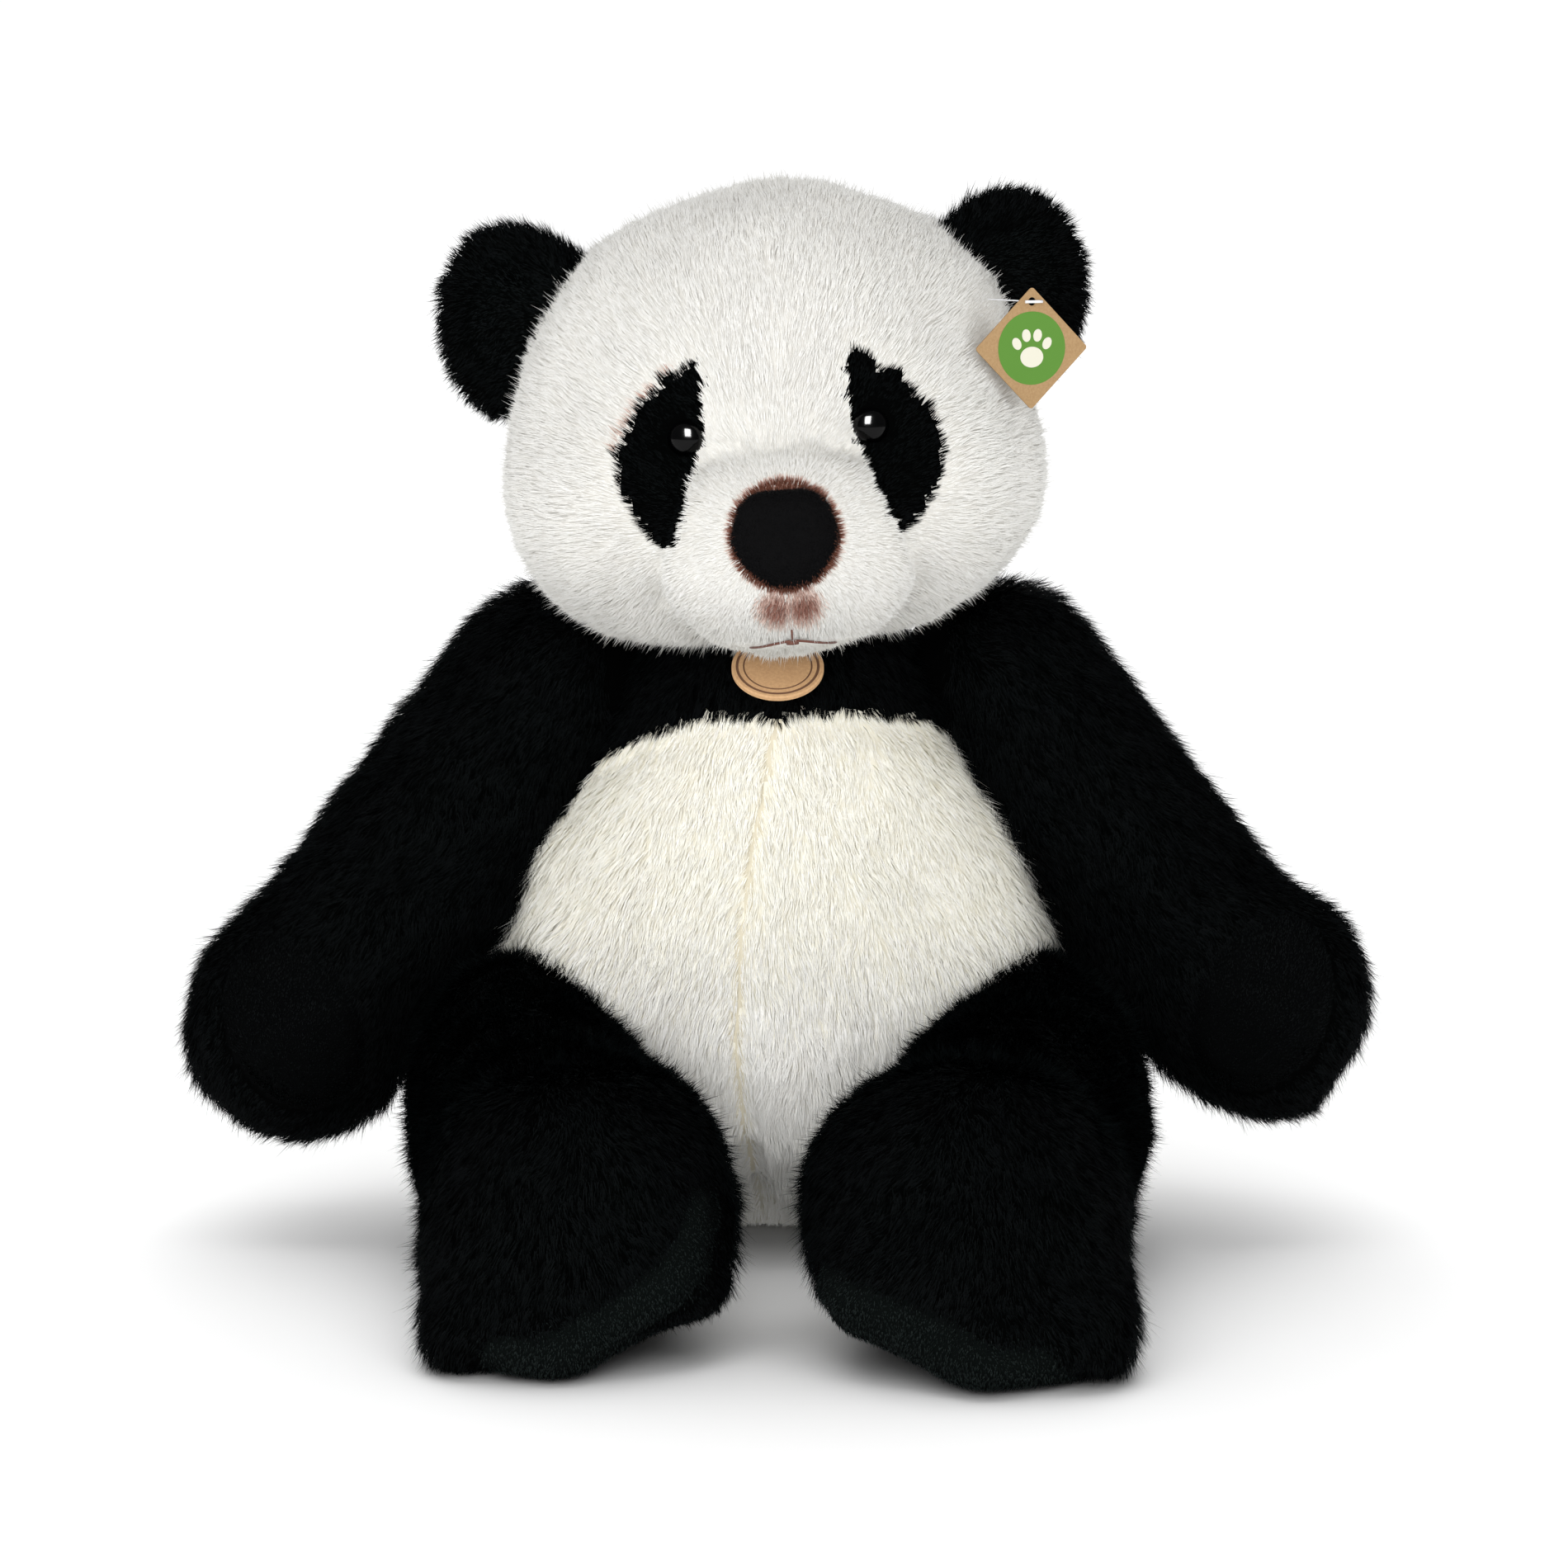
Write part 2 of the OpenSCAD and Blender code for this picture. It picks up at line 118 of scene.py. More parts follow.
TEAL = (0.6, 0.85, 0.9)
EVEN = (0.9, 0.9, 0.9)
WHITE = coat("white pile", ((0.80, 0.785, 0.74), (0.865, 0.855, 0.815), (0.885, 0.88, 0.85)),
             EVEN, (0.05, 0.08, 0.1), (0.05, 0.08, 0.08))
CREAM = coat("cream pile", ((0.84, 0.81, 0.70), (0.885, 0.87, 0.785), (0.90, 0.89, 0.82)),
             EVEN, (0.05, 0.08, 0.1), (0.05, 0.08, 0.08))
BLACK = coat("black pile", ((0.0007, 0.0008, 0.0008), (0.0013, 0.0016, 0.0017), (0.0026, 0.0033, 0.0036)),
             (0.9, 0.8, 0.75), (0, 0.006, 0.01), (0.01, 0.02, 0.03), TEAL)
CHARCOAL = coat("short pile", ((0.0022, 0.0030, 0.0029), (0.0058, 0.0080, 0.0076), (0.0105, 0.0145, 0.0138)),
                (0.9, 0.85, 0.8), (0, 0.015, 0.02), (0.02, 0.04, 0.05), TEAL)
FULL = (" root", " shaft", " tip")
BROWNS = [coat(f"brushed brown {k}", [tuple(c * g for c in brown) for g in (0.8, 1.0, 1.15)],
               EVEN, (0.03, 0.03, 0.03), (0.04, 0.04, 0.04), parts=FULL)
          for k, brown in enumerate(((0.11, 0.042, 0.027), (0.27, 0.13, 0.10), (0.47, 0.31, 0.26),
                                     (0.68, 0.56, 0.50)))]
# painted shade: a darker beige for the crease of the belly seam, worn by its cloth and by some of its pile
SEAM = coat("seam pile", ((0.66, 0.61, 0.48), (0.70, 0.65, 0.52), (0.78, 0.74, 0.62)),
            EVEN, (0.05, 0.05, 0.05), (0.05, 0.05, 0.05), parts=FULL)
FELT = coat("nose felt", ((0.0012, 0.0012, 0.0013), (0.0026, 0.0026, 0.0028), (0.0045, 0.0045, 0.0048)),
            (0.9, 0.85, 0.8), (0, 0.015, 0.02), (0.02, 0.05, 0.06))
PALM = coat("palm pile", ((0.0009, 0.0011, 0.0012), (0.0018, 0.0023, 0.0024), (0.0033, 0.0042, 0.0045)),
            (0.9, 0.85, 0.8), (0, 0.015, 0.02), (0.02, 0.03, 0.04), TEAL)
FAMILIES = [WHITE, CREAM, BLACK, CHARCOAL, FELT, *BROWNS, SEAM, PALM]
W, C, B, K, F, R1, R2, R3, R4, S, M = range(11)

# ---------- skins
def turn_y(degrees):
    """The rotation about y as a matrix."""
    a = math.radians(degrees)
    return np.array([[math.cos(a), 0, math.sin(a)], [0, 1, 0], [-math.sin(a), 0, math.cos(a)]])


HEAD_TILT = -4
HEAD_C = V3(0, -22, 405)
HEAD_R = turn_y(HEAD_TILT)
PIVOT = V3(0, -8, 338)


def to_world(p):
    return p @ HEAD_R.T + HEAD_C


def to_head(p):
    return (p - HEAD_C) @ HEAD_R


def unit(v):
    return v / np.maximum(np.linalg.norm(v, axis=-1, keepdims=True), 1e-12)


def ell(c, r, n=40):
    u = np.linspace(0, 2 * np.pi, n, endpoint=False)
    v = np.linspace(0, np.pi, n // 2 + 1)
    u, v = np.meshgrid(u, v)
    p = np.stack([np.sin(v) * np.cos(u), np.sin(v) * np.sin(u), np.cos(v)], -1).reshape(-1, 3)
    return p * np.asarray(r, float) + np.asarray(c, float)


def ball(c, r):
    return ell(c, [r, r, r])


def arrays(me):
    me.calc_loop_triangles()
    v = np.empty(len(me.vertices) * 3, np.float32)
    me.vertices.foreach_get("co", v)
    e = np.empty(len(me.edges) * 2, np.int32)
    me.edges.foreach_get("vertices", e)
    t = np.empty(len(me.loop_triangles) * 3, np.int32)
    me.loop_triangles.foreach_get("vertices", t)
    return v.reshape(-1, 3).astype(float), e.reshape(-1, 2), t.reshape(-1, 3)


def relax(v, e, steps, k=0.5):
    deg = np.maximum(np.bincount(e.ravel(), minlength=len(v)), 1)[:, None]
    for _ in range(steps):
        s = np.stack([np.bincount(e[:, 0], v[e[:, 1], c], len(v))
                      + np.bincount(e[:, 1], v[e[:, 0], c], len(v)) for c in range(3)], 1)
        v = v + k * (s / deg - v)
    return v


def normals(v, t):
    f = np.cross(v[t[:, 1]] - v[t[:, 0]], v[t[:, 2]] - v[t[:, 0]])
    n = np.zeros_like(v)
    for c in range(3):
        for j in range(3):
            n[:, c] += np.bincount(t[:, j], f[:, c], len(v))
    return unit(n)


class Skin:
    """A smooth closed surface fused from convex pieces, in millimetres."""

    def __init__(self, clouds, voxel=4.0, smooth=10, grow=0.0):
        bm = bmesh.new()
        for cloud in clouds:
            sub = bmesh.new()
            vs = [sub.verts.new(p) for p in cloud]
            out = bmesh.ops.convex_hull(sub, input=vs)
            inner = [g for g in set(out["geom_interior"]) | set(out["geom_unused"])
                     if isinstance(g, bmesh.types.BMVert)]
            bmesh.ops.delete(sub, geom=inner, context="VERTS")
            me = bpy.data.meshes.new("hull")
            sub.to_mesh(me)
            bm.from_mesh(me)
            sub.free()
            bpy.data.meshes.remove(me)
        bmesh.ops.triangulate(bm, faces=bm.faces)
        me = bpy.data.meshes.new("union")
        bm.to_mesh(me)
        bm.free()
        ob = link("union", me)
        mod = ob.modifiers.new("r", "REMESH")
        mod.mode = "VOXEL"
        mod.voxel_size = voxel
        got = ob.evaluated_get(bpy.context.evaluated_depsgraph_get())
        fused = bpy.data.meshes.new_from_object(got)
        bpy.data.objects.remove(ob)
        bpy.data.meshes.remove(me)
        self.v, self.e, self.t = arrays(fused)
        q = np.empty(len(fused.polygons) * 4, np.int32)
        loops = np.empty(len(fused.loops), np.int32)
        fused.loops.foreach_get("vertex_index", loops)
        self.quads = loops.reshape(-1, 4) if len(loops) == len(q) else None
        bpy.data.meshes.remove(fused)
        self.v = relax(self.v, self.e, smooth)
        self.push(grow)

    def normals(self):
        return normals(self.v, self.t)

    def flip(self):
        """Turns the faces over, for a mirrored skin."""
        self.t = self.t[:, ::-1]
        if self.quads is not None:
            self.quads = self.quads[:, ::-1]

    def push(self, amount):
        """Moves every point along its normal by amount, a number or a function of the points."""
        d = amount(self.v) if callable(amount) else np.full(len(self.v), float(amount))
        self.v = self.v + self.normals() * d[:, None]

    def sample(self, per_mm2, rng, weight=None):
        """Random points over the surface with normals, thinned by weight(points)."""
        v, t = self.v, self.t
        n = self.normals()
        f = np.cross(v[t[:, 1]] - v[t[:, 0]], v[t[:, 2]] - v[t[:, 0]])
        area = 0.5 * np.linalg.norm(f, axis=1)
        count = int(area.sum() * per_mm2)
        spread = (np.arange(count) + rng.random(count)) / count
        pick = np.searchsorted(np.cumsum(area) / area.sum(), spread)
        pick = np.minimum(pick, len(t) - 1)
        a, b = rng.random((2, count))
        swap = a + b > 1
        a[swap], b[swap] = 1 - a[swap], 1 - b[swap]
        w = np.stack([1 - a - b, a, b], 1)[..., None]
        p = (v[t[pick]] * w).sum(1)
        m = unit((n[t[pick]] * w).sum(1))
        if weight is not None:
            keep = rng.random(count) < weight(p)
            p, m = p[keep], m[keep]
        return p, m

    def mesh(self, name, slots, index=None):
        """The surface as an object, with a material index per face from index(face centres)."""
        q = self.quads if self.quads is not None else self.t
        k = q.shape[1]
        me = bpy.data.meshes.new(name)
        me.vertices.add(len(self.v))
        me.vertices.foreach_set("co", (self.v * MM).astype(np.float32).ravel())
        me.loops.add(q.size)
        me.loops.foreach_set("vertex_index", q.astype(np.int32).ravel())
        me.polygons.add(len(q))
        me.polygons.foreach_set("loop_start", np.arange(0, q.size, k, dtype=np.int32))
        me.polygons.foreach_set("use_smooth", np.ones(len(q), bool))
        for m in slots:
            me.materials.append(m)
        if index is not None:
            me.polygons.foreach_set("material_index", index(self.v[q].mean(1)).astype(np.int32))
        me.update(calc_edges=True)
        return link(name, me)


# ---------- pile
def wave(p, size, seed, n=6):
    """Smooth noise in about -1..1 with features of the given size."""
    r = np.random.default_rng(seed)
    k = unit(r.normal(size=(n, 3))) * (2 * np.pi / size) * r.uniform(0.6, 1.4, (n, 1))
    return np.sin(p @ k.T + r.uniform(0, 2 * np.pi, n)).sum(1) / math.sqrt(n) * 0.9


def cells(p, size, seed):
    """Irregular cells about size across: the cell number of each point and how many there are."""
    r = np.random.default_rng(seed)
    q, _ = np.linalg.qr(r.normal(size=(3, 3)))
    w = p @ q / size
    w = w + 0.45 * np.stack([wave(p, size * 3.1, seed + 10 + i) for i in range(3)], 1)
    key = np.floor(w).astype(np.int64)
    key = key[:, 0] * 73856093 ^ key[:, 1] * 19349663 ^ key[:, 2] * 83492791
    names, inv = np.unique(key, return_inverse=True)
    return inv.ravel(), len(names)


def mean_by(inv, n, x):
    c = np.maximum(np.bincount(inv, minlength=n), 1)[:, None]
    return np.stack([np.bincount(inv, x[:, i], n) for i in range(x.shape[1])], 1) / c


FACES_PER_MESH = 196000


def pile(name, p, n, comb, length, family, seed, width=0.5, lean=(48, 80), segs=2, lock=5.0,
         pinch=0.35, ruffle=15.0, curl=0.04, stray=0.16, slots=None, sink=1.0, even=1.0):
    """Ribbons of pile rooted at p with normals n: comb is the direction they lie along.

    Each ribbon leans from its root to its tip by the two lean angles, in degrees from the normal. Locks
    of about lock mm share their lean and turn, and pinch draws their tips together. Even scales all
    that is random, stray is the share of longer guard hairs, and sink is how deep a root lies.
    """
    rng = np.random.default_rng(seed)
    m = len(p)
    length = np.broadcast_to(length, m).astype(float)
    family = np.broadcast_to(family, m)
    big, nb = cells(p, lock * 1.9, seed + 1)
    small, ns = cells(p, lock * 0.62, seed + 2)
    turn = 0.8 * wave(p, 38, seed + 3) + 0.7 * rng.normal(size=nb)[big] * 0.8
    turn = turn + 0.55 * rng.normal(size=ns)[small] + 0.35 * rng.normal(size=m)
    turn = turn * np.radians(ruffle * even)
    t = unit(comb - (comb * n).sum(1, keepdims=True) * n)
    b = np.cross(n, t)
    t = t * np.cos(turn)[:, None] + b * np.sin(turn)[:, None]
    b = np.cross(n, t)
    tilt = even * (4 * rng.normal(size=nb)[big] + 4 * rng.normal(size=ns)[small] + 4 * rng.normal(size=m)
                   + 4 * wave(p, 30, seed + 4))
    guard = rng.random(m) < stray
    tilt = tilt - np.where(guard, rng.uniform(12, 34, m), 0)
    length = length * np.where(guard, 1.08, 1.0)
    length = length * np.clip(1 + even * (0.10 * rng.normal(size=nb)[big] + 0.10 * rng.normal(size=ns)[small]
                                          + 0.16 * rng.normal(size=m)), 0.45, 1.5)
    s = np.linspace(0, 1, segs + 1)
    pos = [p - n * sink]
    for i in range(segs):
        a = np.radians(np.clip(lean[0] + (lean[1] - lean[0]) * (i + 0.5) / segs + tilt, 2, 88))[:, None]
        pos.append(pos[-1] + (n * np.cos(a) + t * np.sin(a)) * (length / segs)[:, None])
    mid = mean_by(small, ns, p)
    off = (p - mid[small])
    off = off - (off * n).sum(1, keepdims=True) * n
    phase = rng.uniform(0, 2 * np.pi, m)
    psi = rng.normal(size=m) * 0.5
    side = b * np.cos(psi)[:, None] + n * np.sin(psi)[:, None]
    wide = width * rng.uniform(0.7, 1.25, m) * np.where(guard, 0.62, 1.0)
    taper = np.interp(s, [0, 0.4, 0.75, 1], [1, 0.9, 0.6, 0])
    pts = []
    for i in range(segs + 1):
        q = pos[i] - off * (pinch * s[i] ** 1.4)
        q = q + b * (curl * length * np.sin(phase + 5 * s[i]) * s[i])[:, None]
        if i < segs:
            h = side * (0.5 * wide * taper[i])[:, None]
            pts += [q - h, q + h]
        else:
            pts.append(q)
    nv = len(pts)
    v = np.stack(pts, 1)
    v[:, :, 2] = np.maximum(v[:, :, 2], rng.uniform(0.2, 1.6, m)[:, None])
    # shading normals lean towards the skin's own, so that the coat shades as one soft surface
    axis = unit(pos[-1] - pos[0])
    flat = unit(np.cross(side, axis))
    flat = flat * np.sign((flat * n).sum(1, keepdims=True) + 1e-9)
    shade = unit(0.9 * n + 0.16 * even * flat + 0.05 * even * rng.normal(size=(m, 3)))
    flip = (np.cross(side, axis) * n).sum(1) > 0
    quads = np.array([[2 * i, 2 * i + 1, 2 * i + 3, 2 * i + 2] for i in range(segs - 1)])
    tip = np.array([2 * segs - 2, 2 * segs - 1, 2 * segs])
    tone = rng.random(ns)[small] * 0.5 + rng.random(m) * 0.5
    slots = slots or sorted(set(family.tolist()))
    where = {f: i * 3 for i, f in enumerate(slots)}
    lut = np.zeros(len(FAMILIES), int)
    for f in where:
        lut[f] = where[f]
    base = lut[family]
    out = []
    limit = int(FACES_PER_MESH / (2 * segs - 1))
    parts = max(1, math.ceil(m / limit))
    for k in range(parts):
        take = slice(m * k // parts, m * (k + 1) // parts)
        vk, sk, bk, tk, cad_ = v[take], shade[take], base[take], tone[take], flip[take]
        c = len(vk)
        start = (np.arange(c) * nv)[:, None]
        qk = np.where(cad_[:, None, None], quads[None], quads[None, :, ::-1]) + start[:, None]
        ek = np.where(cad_[:, None], tip[None], tip[None, ::-1]) + start
        loops = np.concatenate([qk.reshape(c, -1), ek], 1).ravel()
        sizes = np.tile(np.array([4] * (segs - 1) + [3]), c)
        starts = np.concatenate([[0], np.cumsum(sizes)[:-1]])
        # the root segment always takes the darker root material: painted shade deep in the pile
        mats = np.empty((c, segs), int)
        mats[:, 0] = bk
        for i in range(1, segs):
            mats[:, i] = bk + np.where(tk < (0.72 if i < segs - 1 else 0.42), 1, 2)
        me = bpy.data.meshes.new(name)
        me.vertices.add(c * nv)
        me.vertices.foreach_set("co", (vk.reshape(-1, 3) * MM).astype(np.float32).ravel())
        me.loops.add(len(loops))
        me.loops.foreach_set("vertex_index", loops.astype(np.int32))
        me.polygons.add(len(sizes))
        me.polygons.foreach_set("loop_start", starts.astype(np.int32))
        me.polygons.foreach_set("use_smooth", np.ones(len(sizes), bool))
        for f in slots:
            for mat in FAMILIES[f]:
                me.materials.append(mat)
        me.polygons.foreach_set("material_index", mats.ravel().astype(np.int32))
        at = me.attributes.new("custom_normal", "FLOAT_VECTOR", "POINT")
        at.data.foreach_set("vector", np.repeat(sk, nv, 0).astype(np.float32).ravel())
        me.update(calc_edges=True)
        out.append(link(name if parts == 1 else f"{name}_{k + 1}", me))
    return out


def inside(poly, x, z):
    """Which points lie in a flat outline."""
    poly = np.asarray(poly, float)
    hit = np.zeros(len(x), bool)
    for (x0, z0), (x1, z1) in zip(poly, np.roll(poly, -1, 0)):
        cross = (z0 > z) != (z1 > z)
        with np.errstate(divide="ignore", invalid="ignore"):
            hit ^= cross & (x < (x1 - x0) * (z - z0) / (z1 - z0) + x0)
    return hit


def near_line(p, line):
    """Distance of each point from a polyline."""
    line = np.asarray(line, float)
    best = np.full(len(p), 1e9)
    for a, b in zip(line[:-1], line[1:]):
        d = b - a
        u = np.clip(((p - a) @ d) / (d @ d), 0, 1)[:, None]
        best = np.minimum(best, np.linalg.norm(p - a - u * d, axis=1))
    return best


def dent(d, depth, width):
    return -depth * np.exp(-((d / width) ** 2))


def tie(ob, body, nodes, riders=()):
    """Puts a piece and the pieces fixed to it on a body, in place of their CAD nodes."""
    for o in riders:
        o.parent = ob
    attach(ob, body)
    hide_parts(*nodes)


def dress(skin_ob, furs, body, nodes, short=()):
    """Ties a skin and its pile, long and short, to a body and to the CAD nodes they stand for."""
    for f in short:
        f.parent = skin_ob
    tie(skin_ob, body, nodes, riders=furs)


# ---------- head
DENSE = 1.15
PATCH = [(35, 30), (44, 27), (55, 19), (67, 5), (75, -10), (75, -24), (69, -38), (60, -50), (54, -54),
         (47, -44), (41, -28), (36, -12), (33.5, 4), (33, 20)]
EYE = V3(43, -90.5, -5)
NECK = (PIVOT - HEAD_C) @ HEAD_R
skin = Skin([
    np.concatenate([ell([0, 8, 8], [120, 98, 95]), ell([50, -18, -35], [79, 82, 68]),
                    ell([-50, -18, -35], [79, 82, 68])]),
    ell([0, -84, -58], [60, 56, 48]),
    ball(NECK, 58),
], voxel=4.0, smooth=14, grow=3.6)


def face_relief(p):
    """How far the cloth of the face stands in or out: sockets, brows, seams, mouth and the flatter cheek."""
    d = np.zeros(len(p))
    front = np.clip((-p[:, 1] - 20) / 30, 0, 1)
    for s in (-1, 1):
        q = p * V3(s, 1, 1)
        e = np.linalg.norm((q - EYE) * V3(1, 0.6, 1), axis=1)
        d += dent(e, 6.0, 15) * front
        d += 3.0 * np.exp(-(np.linalg.norm(q - V3(46, -80, 24), axis=1) / 20) ** 2)
        seam = near_line(q, [(30, -98, -14), (38, -97, -22), (45, -108, -35), (51, -109, -49),
                             (56, -104, -62), (56, -82, -80)])
        d += dent(seam, 4.2, 5.0)
        d += dent(near_line(q, [(0, -104, -14), (14, -106, -20), (30, -99, -17)]), 2.0, 8)
    d += dent(near_line(p, [(0, -134, -78), (0, -130, -88), (0, -113, -97)]), 1.6, 3.5)
    mouth = near_line(p, [(-21, -104, -103), (-10, -110, -98), (0, -113, -96.5), (10, -110, -98),
                          (21, -104, -103)])
    d += dent(mouth, 2.2, 4.0)
    d -= 7.0 * np.clip((p[:, 0] - 45) / 70, 0, 1) * np.clip((45 - p[:, 2]) / 40, 0, 1)
    return d + 1.2 * wave(p, 60, 5)


skin.push(face_relief)
head_skin = skin


def head_region(p):
    """0 crown, 1 cheek left, 2 cheek right, 3 muzzle, 4 chin, 5 patch left, 6 patch right."""
    x, y, z = p.T
    r = np.where(x < 0, 1, 2)
    r[0.62 * y + z > 44] = 0
    r[(y < -55) & ((x / 58) ** 2 + ((z + 52) / 50) ** 2 < 1)] = 3
    r[z < -88] = np.where((y < -70)[z < -88], 3, 4)
    jag = 1.2 * wave(p, 9, 77)
    for s, k in ((-1, 5), (1, 6)):
        r[inside(PATCH, s * x + jag, z + jag) & (y < -30)] = k
    return r


NOSE = V3(0, -136, -50)


def head_comb(p):
    """Pile lies away from the nose, and up and back over the crown."""
    d = unit(p - NOSE)
    d[:, 2] += np.where(p[:, 1] > 0, -0.5, -0.05)
    crown = p[:, 2] > 40
    d[crown] += V3(0, 0.6, 0)
    return d


def patch_edge(p):
    """How far each point is from the outline of the nearer eye patch, seen from the front."""
    ring = PATCH + PATCH[:1]
    return np.minimum(near_line(p[:, [0, 2]], ring), near_line(p[:, [0, 2]] * [-1, 1], ring))


def head_length(p):
    """Length of the pile, mm: short round the nose, eyes, mouth, seams and tag, long at the back."""
    x, y, z = p.T
    near = np.linalg.norm(p - NOSE, axis=1)
    out = np.where(head_region(p) >= 5, 5.5, 10.0)
    out = np.where(z > 30, 9.5, out)
    out = np.minimum(out, 4.4 + 0.75 * patch_edge(p) + 50 * (y > -30))
    tag = np.linalg.norm((p - V3(112, -38, 30)) / V3(1, 1.3, 1), axis=1)
    out = np.minimum(out, 5.5 + 0.7 * np.maximum(tag - 26, 0))
    out = np.where((y > 0) & (z < -52), 15.0, out)
    out = np.where(y > 20, 10.5, out)
    out = np.minimum(out, 3.6 + 6.1 * np.clip((near - 24) / 50, 0, 1) + 40 * np.clip((near - 74) / 50, 0, 1))
    for s in (-1, 1):
        q = p * V3(s, 1, 1)
        e = np.linalg.norm(q - EYE, axis=1)
        out = np.minimum(out, 2.5 + 6.5 * np.clip((e - 8) / 14, 0, 1) + 30 * np.clip((e - 24) / 20, 0, 1))
        seam = near_line(q, [(45, -108, -35), (51, -109, -49), (56, -104, -62), (56, -82, -80)])
        out = np.minimum(out, 4.5 + 0.8 * seam)
    mouth = near_line(p, [(-22, -104, -104), (-10, -110, -98), (0, -113, -96.5), (10, -110, -98),
                          (22, -104, -104)])
    by_mouth = 2.4 + 8.6 * np.clip((mouth - 2.5) / 16, 0, 1) + 40 * np.clip((mouth - 20) / 20, 0, 1)
    return np.minimum(out, by_mouth)


TINTS = [0.17, 0.38, 0.66, 0.96]


def face_tint(p):
    """Strength of the brown fringe round the nose, under it and along the mouth, and of a painted shadow in
    brown-grey along the upper-left edge of the left eye patch.
    """
    rim = np.linalg.norm((p - V3(0, -134, -49)) * V3(1 / 25, 1 / 60, 1 / 24.5), axis=1)
    away = (rim - 1.0) * 25 + 1.2
    top = np.clip((p[:, 2] + 62) / 20, 0, 1)
    tint = np.clip(1.12 - np.clip(away, 0, 99) / (1.3 + 0.9 * top), 0, 1.1)
    for sx in (-1, 1):
        smudge = np.linalg.norm((p - V3(sx * 6.0, -130, -79.5)) * V3(1 / 8.0, 1 / 18, 1 / 8.5), axis=1)
        tint = np.maximum(tint, 0.92 * np.exp(-smudge ** 2.8))
    mouth = near_line(p, [(-20, -105, -103), (0, -113, -96.5), (20, -105, -103)])
    tint = np.maximum(tint, 0.42 * np.exp(-((mouth / 2.2) ** 2)))
    # painted shadow: a brown-grey fringe along the upper-left edge of the left eye patch, in front only
    edge = near_line(p[:, [0, 2]], [(-45, 28), (-56, 20), (-68, 6), (-76, -8)])
    return np.maximum(tint, 0.40 * np.exp(-((edge / 1.3) ** 2)) * (p[:, 1] < -40))


rng = np.random.default_rng(11)
NOSE_DENSE = 2.2


def head_weight(p):
    """All the points near the nose are kept, and elsewhere as many as on the body."""
    return np.where(np.linalg.norm((p - V3(0, -134, -58)) / V3(1, 2, 1.1), axis=1) < 39, 1.0, 1 / NOSE_DENSE)


P, N = skin.sample(DENSE * NOSE_DENSE, rng, head_weight)
neck_zone = np.linalg.norm(P - NECK, axis=1) < 61
keep = ~(neck_zone & (P[:, 2] < -82))
for s in (-1, 1):
    keep &= np.linalg.norm(P * V3(s, 1, 1) - EYE, axis=1) > 8.5
keep &= ~(np.linalg.norm((P - V3(0, -134, -48)) / V3(24, 14, 20), axis=1) < 0.78)
P, N = P[keep], N[keep]
reg = head_region(P)
nape = np.linalg.norm(P - NECK, axis=1) < 68
fam = np.where((reg >= 5) | (nape & (P[:, 1] > 5) & (P[:, 2] < -70)), B, W)
tint = face_tint(P)
tint = tint + 0.09 * rng.normal(size=len(P)) * (tint > 0.08)
fam = np.where(reg < 5, np.choose(np.digitize(tint, TINTS), [fam, R4, R3, R2, R1]), fam)
length = head_length(P)
comb = head_comb(P)
names = ["crown", "cheek_left", "cheek_right", "muzzle", "chin", "eye_patch_left", "eye_patch_right"]
head_fur = []
sink = 0.3 + 0.7 * np.clip((np.linalg.norm(P - NOSE, axis=1) - 30) / 34, 0, 1)
sink = np.where(P[:, 1] < -30, np.minimum(sink, 0.15 + 0.85 * np.clip(patch_edge(P) / 9, 0, 1)), sink)
for k, name in enumerate(names):
    sel = reg == k
    head_fur += pile("pile_" + name, to_world(P[sel]), N[sel] @ HEAD_R.T, comb[sel] @ HEAD_R.T, length[sel],
                     fam[sel], 100 + 10 * k, lean=(52, 80) if name == "chin" else (56, 82), lock=4.6,
                     width=0.46, even=0.6, stray=0.07, pinch=0.25, sink=sink[sel][:, None])


def head_faces(p):
    """Material slot of each face of the head's cloth."""
    q = to_head(p)
    brown = np.choose(np.digitize(face_tint(q) * 0.8, TINTS), [0, 0, 2, 3, 3])
    return np.where(head_region(q) >= 5, 1, brown)


skin.v = to_world(skin.v)
ob = skin.mesh("head_skin", [WHITE[0], BLACK[0], *[brown[0] for brown in BROWNS[::-1]]], head_faces)
dress(ob, head_fur, "head",
      ["head_crown", "cheek_left", "cheek_right", "muzzle_cover", "chin_gusset", "eye_patch_left",
       "eye_patch_right", "head_stuffing"])

# ---------- ears
EAR_R = turn_y(-22)


def ear_to_world(p, s):
    p = p + (V3(-7, 0, 3) if s > 0 else V3(0, 0, 0))
    return to_world((p + V3(112, 5, 0)) @ EAR_R.T * V3(s, 1, 1))


def ear_dir(d, s):
    return (d @ EAR_R.T * V3(s, 1, 1)) @ HEAD_R.T


